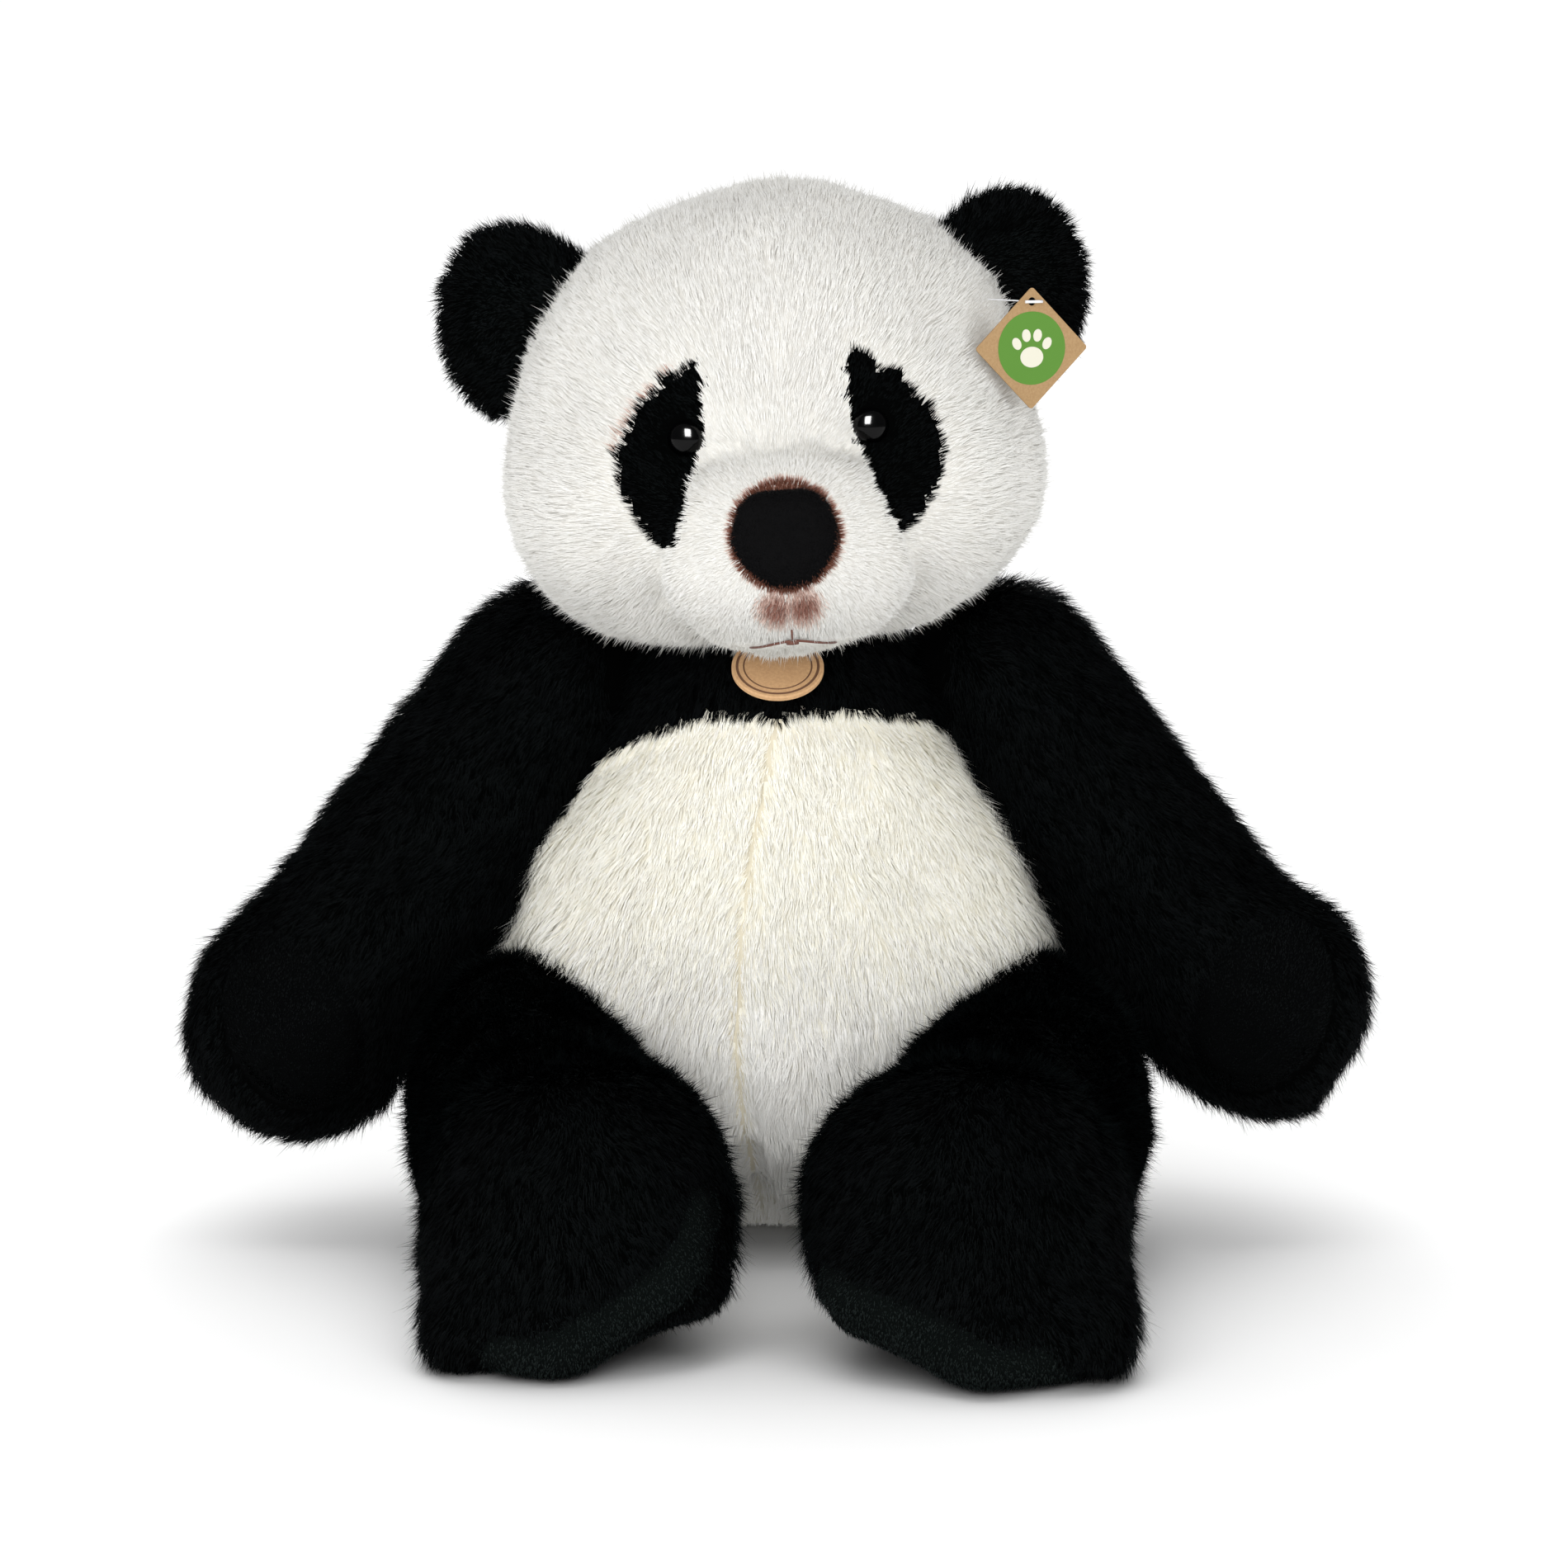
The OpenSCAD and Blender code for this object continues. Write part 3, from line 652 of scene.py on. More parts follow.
for s, side in ((-1, "left"), (1, "right")):
    skin = Skin([ell([20, 0, 0], [36, 12, 43]), ell([1, 1, 0], [16, 14, 38])], voxel=2.5, smooth=5, grow=2.4)
    # cup the ear: the middle of the front sinks, the rim comes forward
    x, y, z = skin.v.T
    rad = np.sqrt(((x - 26) / 32) ** 2 + ((z + 1) / 40) ** 2)
    cup = np.clip(1 - rad ** 2, 0, 1)
    skin.v[:, 1] += np.where(y < 0, 11.5, 3.5) * cup * np.clip((x + 4) / 14, 0, 1)
    skin.v[:, 1] -= 5.0 * np.clip(rad - 0.55, 0, 1) ** 1.5 * np.clip((x - 4) / 20, 0, 1)
    skin.v[:, 0] += 0.15 * z * np.clip(x / 30, 0, 1)
    skin.v = relax(skin.v, skin.e, 4)
    skin.push(lambda p: dent(near_line(p, [(2, -3, -12), (20, 2, -5), (38, 1, 4)]), 2.0, 5)
              * (normals(skin.v, skin.t)[:, 1] < 0))
    P, N = skin.sample(DENSE * 1.1, np.random.default_rng(40 + s), lambda p: np.where(p[:, 0] < -4, 0.0, 1.0))
    comb = np.stack([np.full(len(P), 0.6), np.zeros(len(P)), P[:, 2] / 40 - 0.35], 1)
    front = N[:, 1] < 0
    inner = front & (np.hypot((P[:, 0] - 24) / 30, (P[:, 2] - 2) / 38) < 0.62)
    L = np.where(inner, 4.5, np.where(front, 8.0, 9.5))
    fam = np.where(inner, M, B)
    furs = []
    for k, (face, sel) in enumerate((("front", front), ("back", ~front))):
        furs += pile(f"pile_ear_{face}_{side}", ear_to_world(P[sel], s), ear_dir(N[sel], s),
                     ear_dir(comb[sel], s), L[sel], fam[sel], 300 + 7 * k + s, lock=4.5, lean=(42, 74))
    skin.v = ear_to_world(skin.v, s)
    if s < 0:
        skin.flip()
    ob = skin.mesh("ear_skin_" + side, [BLACK[0]])
    dress(ob, furs, "ear_" + side, ["ear_front_" + side, "ear_back_" + side])

# ---------- body
# outline of the body: height, half width, half depth and how far back its middle lies
RINGS = np.array([[0, 95, 80, 8], [7, 117, 100, 7], [24, 133, 112, 6], [60, 143, 117, 4], [105, 145, 118, 3],
                  [150, 139, 115, 3], [190, 125, 108, 4], [225, 103, 96, 5], [252, 83, 84, 5],
                  [276, 69, 72, 4], [292, 61, 64, 2], [302, 49, 52, 0]], float)
SEAM_LINE = [(-1, 262), (-3, 246), (-7, 230), (-13, 197), (-17, 158), (-20, 115), (-17, 79), (-12, 46),
             (-8, 18)]
YOKE_X = [-150, -120, -102, -85, -61, -33, -9, -1, 5, 15, 47, 71, 84, 100, 120, 150]
YOKE_Z = [185, 196, 208, 233, 249, 259, 261, 257, 261, 262, 259, 253, 243, 226, 210, 196]
YOKE_LINE = list(zip(YOKE_X, YOKE_Z))


def is_yoke(p, jag=0.0):
    """The black shoulder piece: an arched edge in front, the plain sloping seam behind."""
    x, y, z = p.T
    front = z + jag > np.interp(x, YOKE_X, YOKE_Z) + 3
    back = 0.2 * np.abs(x) + 0.12 * y + z + jag > 255
    return np.where(y < -10, front, back)


u = np.linspace(0, 2 * np.pi, 72, endpoint=False)
skin = Skin([np.concatenate([np.stack([r[1] * np.cos(u), r[3] + r[2] * np.sin(u), np.full(len(u), r[0])], 1)
                             for r in RINGS])], voxel=4.5, smooth=8, grow=1.0)


def body_relief(p):
    """Dents at the seams, and the belly's underside tucked in between the legs."""
    d = dent(near_line(p, [(-1, -88, 252), (-7, -98, 230), (-13, -110, 197), (-17, -118, 158),
                           (-20, -121, 115), (-17, -120, 79), (-12, -116, 46), (-8, -105, 18)]), 4.4, 4.5)
    x, y, z = p.T
    behind = np.abs(0.2 * np.abs(x) + 0.12 * y + z - 253)
    d += dent(np.where(y > -10, behind, near_line(p[:, [0, 2]], YOKE_LINE)), 1.6, 6)
    d += dent(np.where(y > 30, np.abs(x), 999), 2.0, 6)
    d -= np.where((y < -40) & (np.abs(x) < 75), 54 * np.clip((68 - z) / 68, 0, 1) ** 1.15, 0)
    return d + 1.8 * wave(p, 80, 6)


skin.push(body_relief)
skin.v[:, 2] = np.maximum(skin.v[:, 2], 2.0)


def hidden_by_limbs(p):
    """Root points covered by an arm or leg at rest and in every pose."""
    out = np.zeros(len(p), bool)
    for s in (-1, 1):
        q = p * V3(s, 1, 1)
        out |= np.linalg.norm(q - V3(110, 8, 265), axis=1) < 40
        out |= np.linalg.norm((q - V3(125, -62, 71)) / V3(44, 58, 58), axis=1) < 1
    out |= np.linalg.norm(p - PIVOT, axis=1) < 60
    return out


def body_weight(p):
    return np.where(p[:, 2] < 6, 0.06, np.where(p[:, 1] > 10, 0.85, 1.0))


P, N = skin.sample(DENSE, np.random.default_rng(21), body_weight)
under = (P[:, 2] < 3) & (N[:, 2] < -0.8) & (np.random.default_rng(3).random(len(P)) < 0.6)
keep = ~hidden_by_limbs(P) & ~under
P, N = P[keep], N[keep]
x, y, z = P.T
yoke = is_yoke(P, 1.2 * wave(P, 10, 8))
reg = np.where(y < 4, np.where(x < -8, 1, 2), np.where(x < 0, 3, 4))
reg[yoke] = 0
reg[(z < 9) & ~yoke] = 5
creamy = np.random.default_rng(5).random(len(P)) < np.clip((z - 110) / 70, 0, 0.9)
fam = np.where(yoke, B, np.where((z > 110) & (y < 20) & creamy, C, W))
seam = np.where(y < 0, near_line(P[:, [0, 2]], SEAM_LINE), 99)
# some of the pile on the belly seam takes the darker seam colour: painted shade in the crease
seam_shaded = np.random.default_rng(6).random(len(P)) < np.clip((z - 60) / 120, 0, 0.35)
fam = np.where((seam < 2.0) & ~yoke & seam_shaded, S, fam)
seam_x, seam_z = np.array(SEAM_LINE[::-1], float).T
from_seam = np.sign(x - np.interp(z, seam_z, seam_x))
comb = np.stack([0.25 * x / 140 + 0.3 * from_seam * np.exp(-((seam / 8) ** 2)), 0.12 * (y - 4) / 115,
                 -np.ones(len(P))], 1)
L = np.where(y < 20, 12.5 + 4.5 * np.clip((170 - z) / 80, 0, 1), 12.5)
L = np.minimum(L, np.where((y < -40) & (z > 20), 17, 4 + 0.9 * np.maximum(z, 0)))
L = np.minimum(L, 7.0 + 0.9 * seam)
edge = near_line(P[:, [0, 2]], YOKE_LINE)
L = np.where(y < -10, np.minimum(L, np.where(yoke, 6.0, 8.0) + 0.6 * edge), L)
names = ["chest_yoke", "belly_left", "belly_right", "back_left", "back_right", "seat"]
furs = []
for k, name in enumerate(names):
    sel = reg == k
    furs += pile("pile_" + name, P[sel], N[sel], comb[sel], L[sel], fam[sel], 400 + 10 * k,
                 lean=(66, 86) if name == "seat" else (56, 83), lock=5.5, pinch=0.28,
                 even=0.7 if k else 1.0, stray=0.08 if k else 0.16,
                 slots=[W, C, S] if k in (1, 2, 3, 4) else None)


def torso_faces(p):
    """Material slot of each face of the body's cloth; the faces along the belly seam take the darker seam
    colour, painted shade in its crease.
    """
    on_seam = (near_line(p[:, [0, 2]], SEAM_LINE) < 2.4) & (p[:, 1] < 0) & (p[:, 2] > 40)
    return np.where(is_yoke(p), 1, np.where(on_seam, 2, 0))


ob = skin.mesh("body_skin", [CREAM[0], BLACK[0], SEAM[0]], torso_faces)
dress(ob, furs, "torso",
      ["chest_yoke", "belly_panel_left", "belly_panel_right", "back_panel_left", "back_panel_right",
       "seat_panel", "body_stuffing", "bean_bag"])

# tail
skin = Skin([np.concatenate([ball([0, 120, 48], 18), ball([0, 138, 40], 14)])], voxel=3, smooth=5, grow=0.5)
P, N = skin.sample(DENSE * 1.6, np.random.default_rng(31), lambda p: np.where(p[:, 1] < 112, 0.0, 1.0))
furs = pile("pile_tail", P, N, np.tile(V3(0, 0.8, -0.5), (len(P), 1)), 10.0, W, 470, lean=(44, 74), even=0.7,
            sink=0.4)
ob = skin.mesh("tail_skin", [WHITE[0]])
dress(ob, furs, "torso", ["tail_cover", "tail_stuffing"])

# neck: the gathered cloth under the head
skin = Skin([ball([0, -8, 338], 63)], voxel=3, smooth=2)
P, N = skin.sample(0.5, np.random.default_rng(33), lambda p: np.where(p[:, 2] < 318, 1.0, 0.0))
furs = pile("pile_neck", P, N, np.tile(V3(0, 0, -1.0), (len(P), 1)), 3.0, B, 480, lean=(50, 80))
cut = skin.v[skin.t].mean(1)[:, 2] < 316
skin.t = skin.t[cut]
skin.quads = None
used, inv = np.unique(skin.t, return_inverse=True)
skin.t = inv.reshape(-1, 3)
skin.v = skin.v[used]
ob = skin.mesh("neck_skin", [BLACK[0]])
dress(ob, furs, "neck", ["neck_gather"])

# ---------- arms
def cover_limb(kind, pad_name, side, skin, points, comb, length, pad, seeds, pad_comb, pad_family, on_pad):
    """Fur, short pile and cloth of an arm or a leg, made on the right, mirrored and tied to its CAD nodes."""
    s = -1 if side == "left" else 1
    m = V3(s, 1, 1)
    P, N = points
    body = f"{kind}_{side}"
    furs = pile(f"pile_{body}", P[~pad] * m, N[~pad] * m, comb[~pad] * m, length[~pad], B, seeds[0] + 9 * s,
                width=0.52, lean=(46, 78))
    short = pile(f"pile_{pad_name}_{side}", P[pad] * m, N[pad] * m, np.tile(pad_comb, (pad.sum(), 1)), 2.6,
                 pad_family, seeds[1] + 3 * s, lock=3.5, lean=(25, 60), sink=0.5)
    skin.v = skin.v * m
    if s < 0:
        skin.flip()
    ob = skin.mesh(f"{kind}_skin_{side}", [BLACK[0], FAMILIES[pad_family][0]], lambda p: on_pad(p * m))
    dress(ob, furs, body,
          [f"{kind}_cover_{side}", f"{pad_name}_pad_{side}", f"{kind}_stuffing_{side}"], short=short)


SHOULDER, ELBOW, WRIST = V3(110, 8, 265), V3(171, -6, 181), V3(206, -22, 140)
for s, side in ((-1, "left"), (1, "right")):
    paw = V3(235, -38, 116 if s > 0 else 107)
    paw_r = V3(51.5, 46, 54 if s > 0 else 56)
    skin = Skin([
        np.concatenate([ball(SHOULDER, 48), ball(ELBOW, 51)]),
        np.concatenate([ball(ELBOW, 51), ball(WRIST, 49)]),
        np.concatenate([ball(WRIST, 49), ell(paw, paw_r)]),
    ], voxel=4.0, smooth=12, grow=2.0)
    pc = paw + V3(-1, -12, 3)

    def palm(p):
        """How far out each point lies on the palm pad, 1 at its seam, and its place across and along it."""
        a = math.radians(24)
        dx, dz = p[:, 0] - pc[0], p[:, 2] - pc[2]
        u = dx * math.cos(a) - dz * math.sin(a)
        w = dx * math.sin(a) + dz * math.cos(a)
        return np.where(p[:, 1] < paw[1], np.sqrt((u / 34) ** 2 + (w / 46) ** 2), 9), u, w

    def arm_relief(p):
        r, u, w = palm(p)
        d = dent((r - 1) * 36, 3.2, 6)
        d += np.where(r < 1, 1.5 * (1 - r ** 2), 0)
        q = np.stack([u, w], 1)
        for crease in ([(-9, 12), (-12, 46)], [(9, 12), (13, 44)], [(-26, 6), (-4, 12), (20, 2)]):
            d += np.where(r < 1.2, dent(near_line(q, crease), 2.4, 4.5), 0)
        return d + 1.6 * wave(p, 60, 9 + s)

    skin.push(arm_relief)
    P, N = skin.sample(DENSE, np.random.default_rng(50 + s))
    keep = (np.abs(P[:, 0]) >= 84) | (np.linalg.norm(P - SHOULDER, axis=1) >= 60)
    P, N = P[keep], N[keep]
    r = palm(P)[0]
    comb = np.where(P[:, 2:3] > 190, unit(ELBOW - SHOULDER), unit(paw - ELBOW)) + V3(0, -0.1, -0.25)
    L = np.where(r < 2, 7 + 5 * np.clip((r - 0.97) * 1.8, 0, 1), 12.0)
    cover_limb("arm", "palm", side, skin, (P, N), comb, L, r < 0.97, (500, 540), V3(0.3, 0, 1.0), M,
               lambda p: palm(p)[0] < 1)

# ---------- legs
HIP = V3(125, -62, 71)


def leg_weight(p):
    return np.where(p[:, 2] < 3, 0.05, np.where((p[:, 1] > -60) & (p[:, 0] < 120), 0.1, 1.0))


for s, side in ((-1, "left"), (1, "right")):
    ankle = V3(101, -186, 65)
    foot = V3(84, -245, 68) if s > 0 else V3(89, -236, 68)
    toe = -303 if s > 0 else -286
    wide = 68 if s > 0 else 65
    skin = Skin([
        np.concatenate([ell(HIP, [51, 66, 66]), ell(ankle, [57, 58, 58])]),
        np.concatenate([ell(ankle, [53, 52, 52]), ell(foot, [wide, 58, 57]),
                        ball([foot[0] + wide - 16, toe, 17], 16),
                        ball([foot[0] + wide - 15, toe + 80, 17], 15),
                        ball([foot[0] + 8, toe - 13, 20], 18),
                        ball([foot[0] - wide + 25, toe + 18, 40], 24)]),
    ], voxel=4.0, smooth=12, grow=2.0)

    def sole(p):
        """How far inside the sole piece a point lies, mm."""
        a = (-0.3 * p[:, 0] - 0.42 * p[:, 1] - p[:, 2] - 86) / 1.13
        line = [(20, -296, 40), (37, -306, 34), (58, -314, 28), (85, -322, 20), (110, -320, 12)]
        if s < 0:
            line = [(34, -268, 68), (37, -280, 54), (48, -291, 40), (68, -300, 26), (92, -306, 17),
                    (118, -304, 10)]
        return np.maximum(a, 12 - near_line(p, line))

    def leg_relief(p):
        d = dent(sole(p), 2.6, 5)
        if s > 0:
            for k in range(4):
                q = V3(32 + 22 * k, -311 - 6 * k, 30 - 3 * k)
                d += dent(np.linalg.norm(p - q, axis=1), 2.5, 5)
        return d + 1.8 * wave(p, 70, 15 + s)

    skin.push(leg_relief)
    skin.v[:, 2] = np.maximum(skin.v[:, 2], 1.5)
    P, N = skin.sample(DENSE, np.random.default_rng(60 + s), leg_weight)
    pad = sole(P) > 1 + 2.2 * np.random.default_rng(66 + s).normal(size=len(P))
    comb = np.tile(V3(-0.05, -1, -0.1), (len(P), 1))
    front = np.clip((-P[:, 1] - 215) / 60, 0, 1)[:, None]
    comb = comb * (1 - 0.8 * front) + V3(0, 0, -1.0) * front
    comb += V3(0.5, 0, 0) * np.clip((P[:, 0:1] - ankle[0]) / 60, -1, 1) * front
    L = np.minimum(11.5, 4 + 0.8 * np.maximum(P[:, 2], 0))
    L = np.minimum(L, 4.0 - 0.45 * sole(P))
    cover_limb("leg", "sole", side, skin, (P, N), comb, L, pad, (600, 640), V3(0, -0.4, -1.0), K,
               lambda p: sole(p) > 0)

# ---------- nose
skin = Skin([np.concatenate([ell([-7.5, -136, -40], [14.5, 10, 12]), ell([7.5, -136, -40], [14.5, 10, 12]),
                             ell([-9.5, -137, -50], [15.5, 11, 12]), ell([9.5, -137, -50], [15.5, 11, 12]),
                             ell([0, -138, -58], [19.8, 11, 15.5])])], voxel=1.5, smooth=6, grow=0.3)
P, N = skin.sample(3.2, np.random.default_rng(71), lambda p: np.where(p[:, 1] > -132, 0.3, 1.0))
edge = np.linalg.norm((P - V3(0, -137, -47)) / V3(25, 99, 24), axis=1)
fam = np.where(np.random.default_rng(72).random(len(P)) < np.clip((edge - 0.9) * 4.0, 0, 0.8), R1, F)
furs = pile("pile_nose", to_world(P), N @ HEAD_R.T, (P - V3(0, -137, -40)) @ HEAD_R.T, 1.5, fam, 700,
            lock=2.5, width=0.32, lean=(20, 60), sink=0.3)
skin.v = to_world(skin.v)
ob = skin.mesh("nose_skin", [FELT[1]])
dress(ob, furs, "head", ["nose_cover", "nose_stuffing"])


# ---------- hard trims
def to_object(name, bm, slots, frame_m=Matrix()):
    """A bmesh as an object, its frame set by frame_m."""
    me = bpy.data.meshes.new(name)
    bm.to_mesh(me)
    bm.free()
    for m in slots:
        me.materials.append(m)
    me.transform(frame_m)
    return link(name, me)


def turned(name, profile, n, slots, frame_m, index=None, smooth=True):
    """A lathe about z: profile is (radius, height) in mm from bottom to top, closed at the axis."""
    u = np.linspace(0, 2 * np.pi, n, endpoint=False)
    bm = bmesh.new()
    rows = []
    for r, h in profile:
        if r < 1e-6:
            rows.append([bm.verts.new((0, 0, h * MM))])
        else:
            rows.append([bm.verts.new((r * MM * math.cos(a), r * MM * math.sin(a), h * MM)) for a in u])
    for k, (a, b) in enumerate(zip(rows[:-1], rows[1:])):
        for i in range(n):
            j = (i + 1) % n
            if len(a) == 1:
                f = bm.faces.new([a[0], b[j], b[i]])
            elif len(b) == 1:
                f = bm.faces.new([a[i], a[j], b[0]])
            else:
                f = bm.faces.new([a[i], a[j], b[j], b[i]])
            f.smooth = smooth
            f.material_index = index[k] if index else 0
    bmesh.ops.recalc_face_normals(bm, faces=bm.faces)
    return to_object(name, bm, slots, frame_m)


def tube(name, line, radius, mat, n=12, taper=None):
    """A round tube along a polyline in mm with flat ends."""
    line = [Vector(p) for p in line]
    bm = bmesh.new()
    rows = []
    last = len(line) - 1
    for i, p in enumerate(line):
        t = (line[min(i + 1, last)] - line[max(i - 1, 0)]).normalized()
        across = t.orthogonal().normalized() if i == 0 else (across - t * across.dot(t)).normalized()
        up = t.cross(across)
        r = radius * (taper[i] if taper else 1)
        turns = [2 * math.pi * j / n for j in range(n)]
        rows.append([bm.verts.new((p + (across * math.cos(a) + up * math.sin(a)) * r) * MM) for a in turns])
    for a, b in zip(rows[:-1], rows[1:]):
        for j in range(n):
            bm.faces.new([a[j], a[(j + 1) % n], b[(j + 1) % n], b[j]]).smooth = True
    bm.faces.new(rows[0][::-1])
    bm.faces.new(rows[-1])
    bmesh.ops.recalc_face_normals(bm, faces=bm.faces)
    return to_object(name, bm, [mat])


def line_between(a, b, n):
    return [a + (b - a) * i / n for i in range(n + 1)]


def plate(outline, y0, y1, hole=None):
    """A flat plate in x, z from y0 to y1 as a bmesh, mm, with an optional round hole."""
    bm = bmesh.new()
    loops = [outline] + ([hole] if hole is not None else [])
    edges = []
    for lp in loops:
        vs = [bm.verts.new((x * MM, y0 * MM, z * MM)) for x, z in lp]
        edges += [bm.edges.new((a, b)) for a, b in zip(vs, vs[1:] + vs[:1])]
    bmesh.ops.triangle_fill(bm, edges=edges, use_beauty=True)
    ext = bmesh.ops.extrude_face_region(bm, geom=list(bm.faces))
    moved = [g for g in ext["geom"] if isinstance(g, bmesh.types.BMVert)]
    bmesh.ops.translate(bm, vec=(0, (y1 - y0) * MM, 0), verts=moved)
    bmesh.ops.recalc_face_normals(bm, faces=bm.faces)
    return bm


def join(name, parts, frame_m):
    """One object from (bmesh, material) parts, in mm frames turned by frame_m."""
    bm = bmesh.new()
    for k, (sub, _) in enumerate(parts):
        for f in sub.faces:
            f.material_index = k
        tmp = bpy.data.meshes.new("tmp")
        sub.to_mesh(tmp)
        bm.from_mesh(tmp)
        sub.free()
        bpy.data.meshes.remove(tmp)
    return to_object(name, bm, [mat for _, mat in parts], frame_m)


def place(x, y, z, turn=0.0, axis="Z"):
    """The frame at a point in mm, turned about one axis, in degrees."""
    return Matrix.Translation(Vector((x * MM, y * MM, z * MM))) @ Matrix.Rotation(math.radians(turn), 4, axis)


def at_mm(m, x, y, z):
    """A point of a frame in the world, mm."""
    return (m @ Vector((x * MM, y * MM, z * MM))) / MM


def circle(cx, cz, rx, rz, n=48, turn=0.0):
    out = []
    for i in range(n):
        a = 2 * math.pi * i / n
        x, z = rx * math.cos(a), rz * math.sin(a)
        out.append((cx + x * math.cos(turn) - z * math.sin(turn),
                    cz + x * math.sin(turn) + z * math.cos(turn)))
    return out


EYE_MAT = material("eye plastic", (0.00008, 0.00008, 0.0001), rough=0.14, spec=0.16)
eye_obs = []
HEAD_M = place(*HEAD_C, HEAD_TILT, "Y")
dome = [(0, -1), (8.4, -1), (8.9, -0.5), (9.0, 0.3), (8.8, 1.0)]
dome += [(8.6 * math.cos(math.radians(a)), 1.4 + 6.4 * math.sin(math.radians(a))) for a in range(6, 90, 6)]
dome += [(0, 7.8)]
for s, side in ((-1, "left"), (1, "right")):
    m = HEAD_M @ place(s * EYE[0], EYE[1], EYE[2], 22 * s) @ place(0, 0, 0, 90, "X")
    ob = turned("eye_dome_" + side, dome, 64, [EYE_MAT], m)
    eye_obs.append(ob)
    tie(ob, "head", ["eye_" + side, "eye_washer_" + side])

THREAD = material("mouth thread", (0.13, 0.05, 0.035), rough=0.7, sheen=0.2)


def on_muzzle(x, z, out=2.9):
    """A point just over the muzzle's cloth, in the world, mm."""
    v = head_skin.v
    q = to_head(v)
    d = (q[:, 0] - x) ** 2 + (q[:, 2] - z) ** 2 + np.where(q[:, 1] < -60, 0, 1e6)
    near = np.argsort(d)[:6]
    share = 1 / (d[near] + 0.5)
    p = (v[near] * share[:, None]).sum(0) / share.sum()
    n = unit((head_skin.normals()[near] * share[:, None]).sum(0))
    return p + n * out


xs = np.linspace(-21, 21, 19)
arc = [on_muzzle(x, -96 - 5.0 * (abs(x) / 20) ** 1.4) for x in xs]
arc = relax(np.array(arc), np.array([[i, i + 1] for i in range(len(arc) - 1)]), 1)
drop = [on_muzzle(0, z) for z in np.linspace(-96, -91, 4)]
bow = [on_muzzle(-3, -97, 3.0), on_muzzle(0, -96.5, 3.6), on_muzzle(3, -97, 3.0)]
mouth = tube("mouth_arc", arc, 0.6, THREAD, taper=[0.6] + [1] * (len(arc) - 2) + [0.6])
drop = tube("mouth_drop", drop, 0.5, THREAD)
knot = tube("mouth_knot", bow, 1.1, THREAD)
tie(mouth, "head", ["mouth_stitch"], riders=[drop, knot])

KRAFT = noisy(material("kraft card", (0.35, 0.22, 0.11), rough=0.85, spec=0.2),
              (0.29, 0.18, 0.085), (0.39, 0.255, 0.13), 900, 0.4)
GREEN = material("green print", (0.085, 0.21, 0.03), rough=0.7, spec=0.2)
PALE = material("pale print", (0.62, 0.60, 0.50), rough=0.8, spec=0.2)
INK = material("brown print", (0.16, 0.08, 0.045), rough=0.8, spec=0.2)
PIN = material("clear pin", (0.75, 0.76, 0.78), rough=0.25, spec=0.5)
DISC = noisy(material("pressed wood", (0.58, 0.35, 0.18), rough=0.75, spec=0.3),
             (0.48, 0.28, 0.135), (0.64, 0.40, 0.21), 700, 0.3)

# hang tag: a square card on its corner, hung from the hole near its top, with a paw on a green disc
TAG_HALF = 41 / math.sqrt(2)
TAG_DROP = TAG_HALF - 7
tag_m = place(120, -74, 437 + TAG_DROP, 21)
corner = []
for k in range(4):
    a = math.pi / 2 * k
    middle = TAG_HALF - 1.5 * math.sqrt(2)
    for j in range(-4, 5):
        b = a + j * math.radians(45) / 4
        corner.append((middle * math.cos(a) + 1.5 * math.cos(b),
                       middle * math.sin(a) + 1.5 * math.sin(b) - TAG_DROP))
parts = [(plate(corner, -0.4, 0.4, circle(0, 0, 2, 2, 32)), KRAFT),
         (plate(circle(0, -TAG_DROP, 17.3, 17.3, 64), -0.52, -0.35), GREEN)]
motif = [circle(0, -TAG_DROP - 4.2, 5.9, 4.9)]
for x, z, lean in ((-7.8, 2.2, 0.5), (-2.9, 6.0, 0.15), (2.9, 6.0, -0.15), (7.8, 2.2, -0.5)):
    motif.append(circle(x, z - TAG_DROP, 2.2, 3.0, 24, lean))
parts += [(plate(outline, -0.66, -0.5), PALE) for outline in motif]
ob = join("hang_tag_card", parts, tag_m)
tie(ob, "hang_tag", ["tag_card"])
pin_m = tag_m @ place(0, 0, 0, 22)
filament = tube("tag_filament", line_between(at_mm(pin_m, 0, -3, 0), at_mm(pin_m, 0, 33, 0), 6), 0.35, PIN)
bar = tube("tag_bar", line_between(at_mm(tag_m, -4.4, -2.6, 0), at_mm(tag_m, 4.4, -2.6, 0), 4), 0.7, PIN)
tie(filament, "head", ["tag_pin"], riders=[bar])

# medallion on the chest: a disc with two printed rings, held by a stud
disc_m = place(0, -82.5, 285.5, -55, "X")
ring = [(0, -1.5), (21.2, -1.5), (22, -0.9), (22, 0.9), (21.4, 1.5), (20.0, 1.5), (19.8, 1.3), (18.9, 1.3),
        (18.7, 1.5), (16.6, 1.5), (16.4, 1.35), (16.0, 1.35), (15.8, 1.5), (0, 1.5)]
printed = [0, 0, 0, 0, 0, 1, 1, 1, 0, 1, 1, 1, 0]
facing = place(0, 0, 0, 90, "X")
ob = turned("medallion_wood", ring, 96, [DISC, INK], disc_m @ facing, index=printed, smooth=False)
tie(ob, "medallion", ["medallion_disc"])
stud_m = disc_m @ place(0, 0, 17.5)
stem = line_between(at_mm(stud_m, 0, -3.2, 0), at_mm(stud_m, 0, 12, 0), 4)
stem = tube("medallion_stem", stem, 0.9, EYE_MAT)
cap = [(0, 0), (2.9, 0), (3.0, 0.5), (2.3, 1.1), (1.2, 1.4), (0, 1.5)]
stud = turned("medallion_stud", cap, 32, [EYE_MAT], stud_m @ place(0, -2.2, 0, 90, "X"))
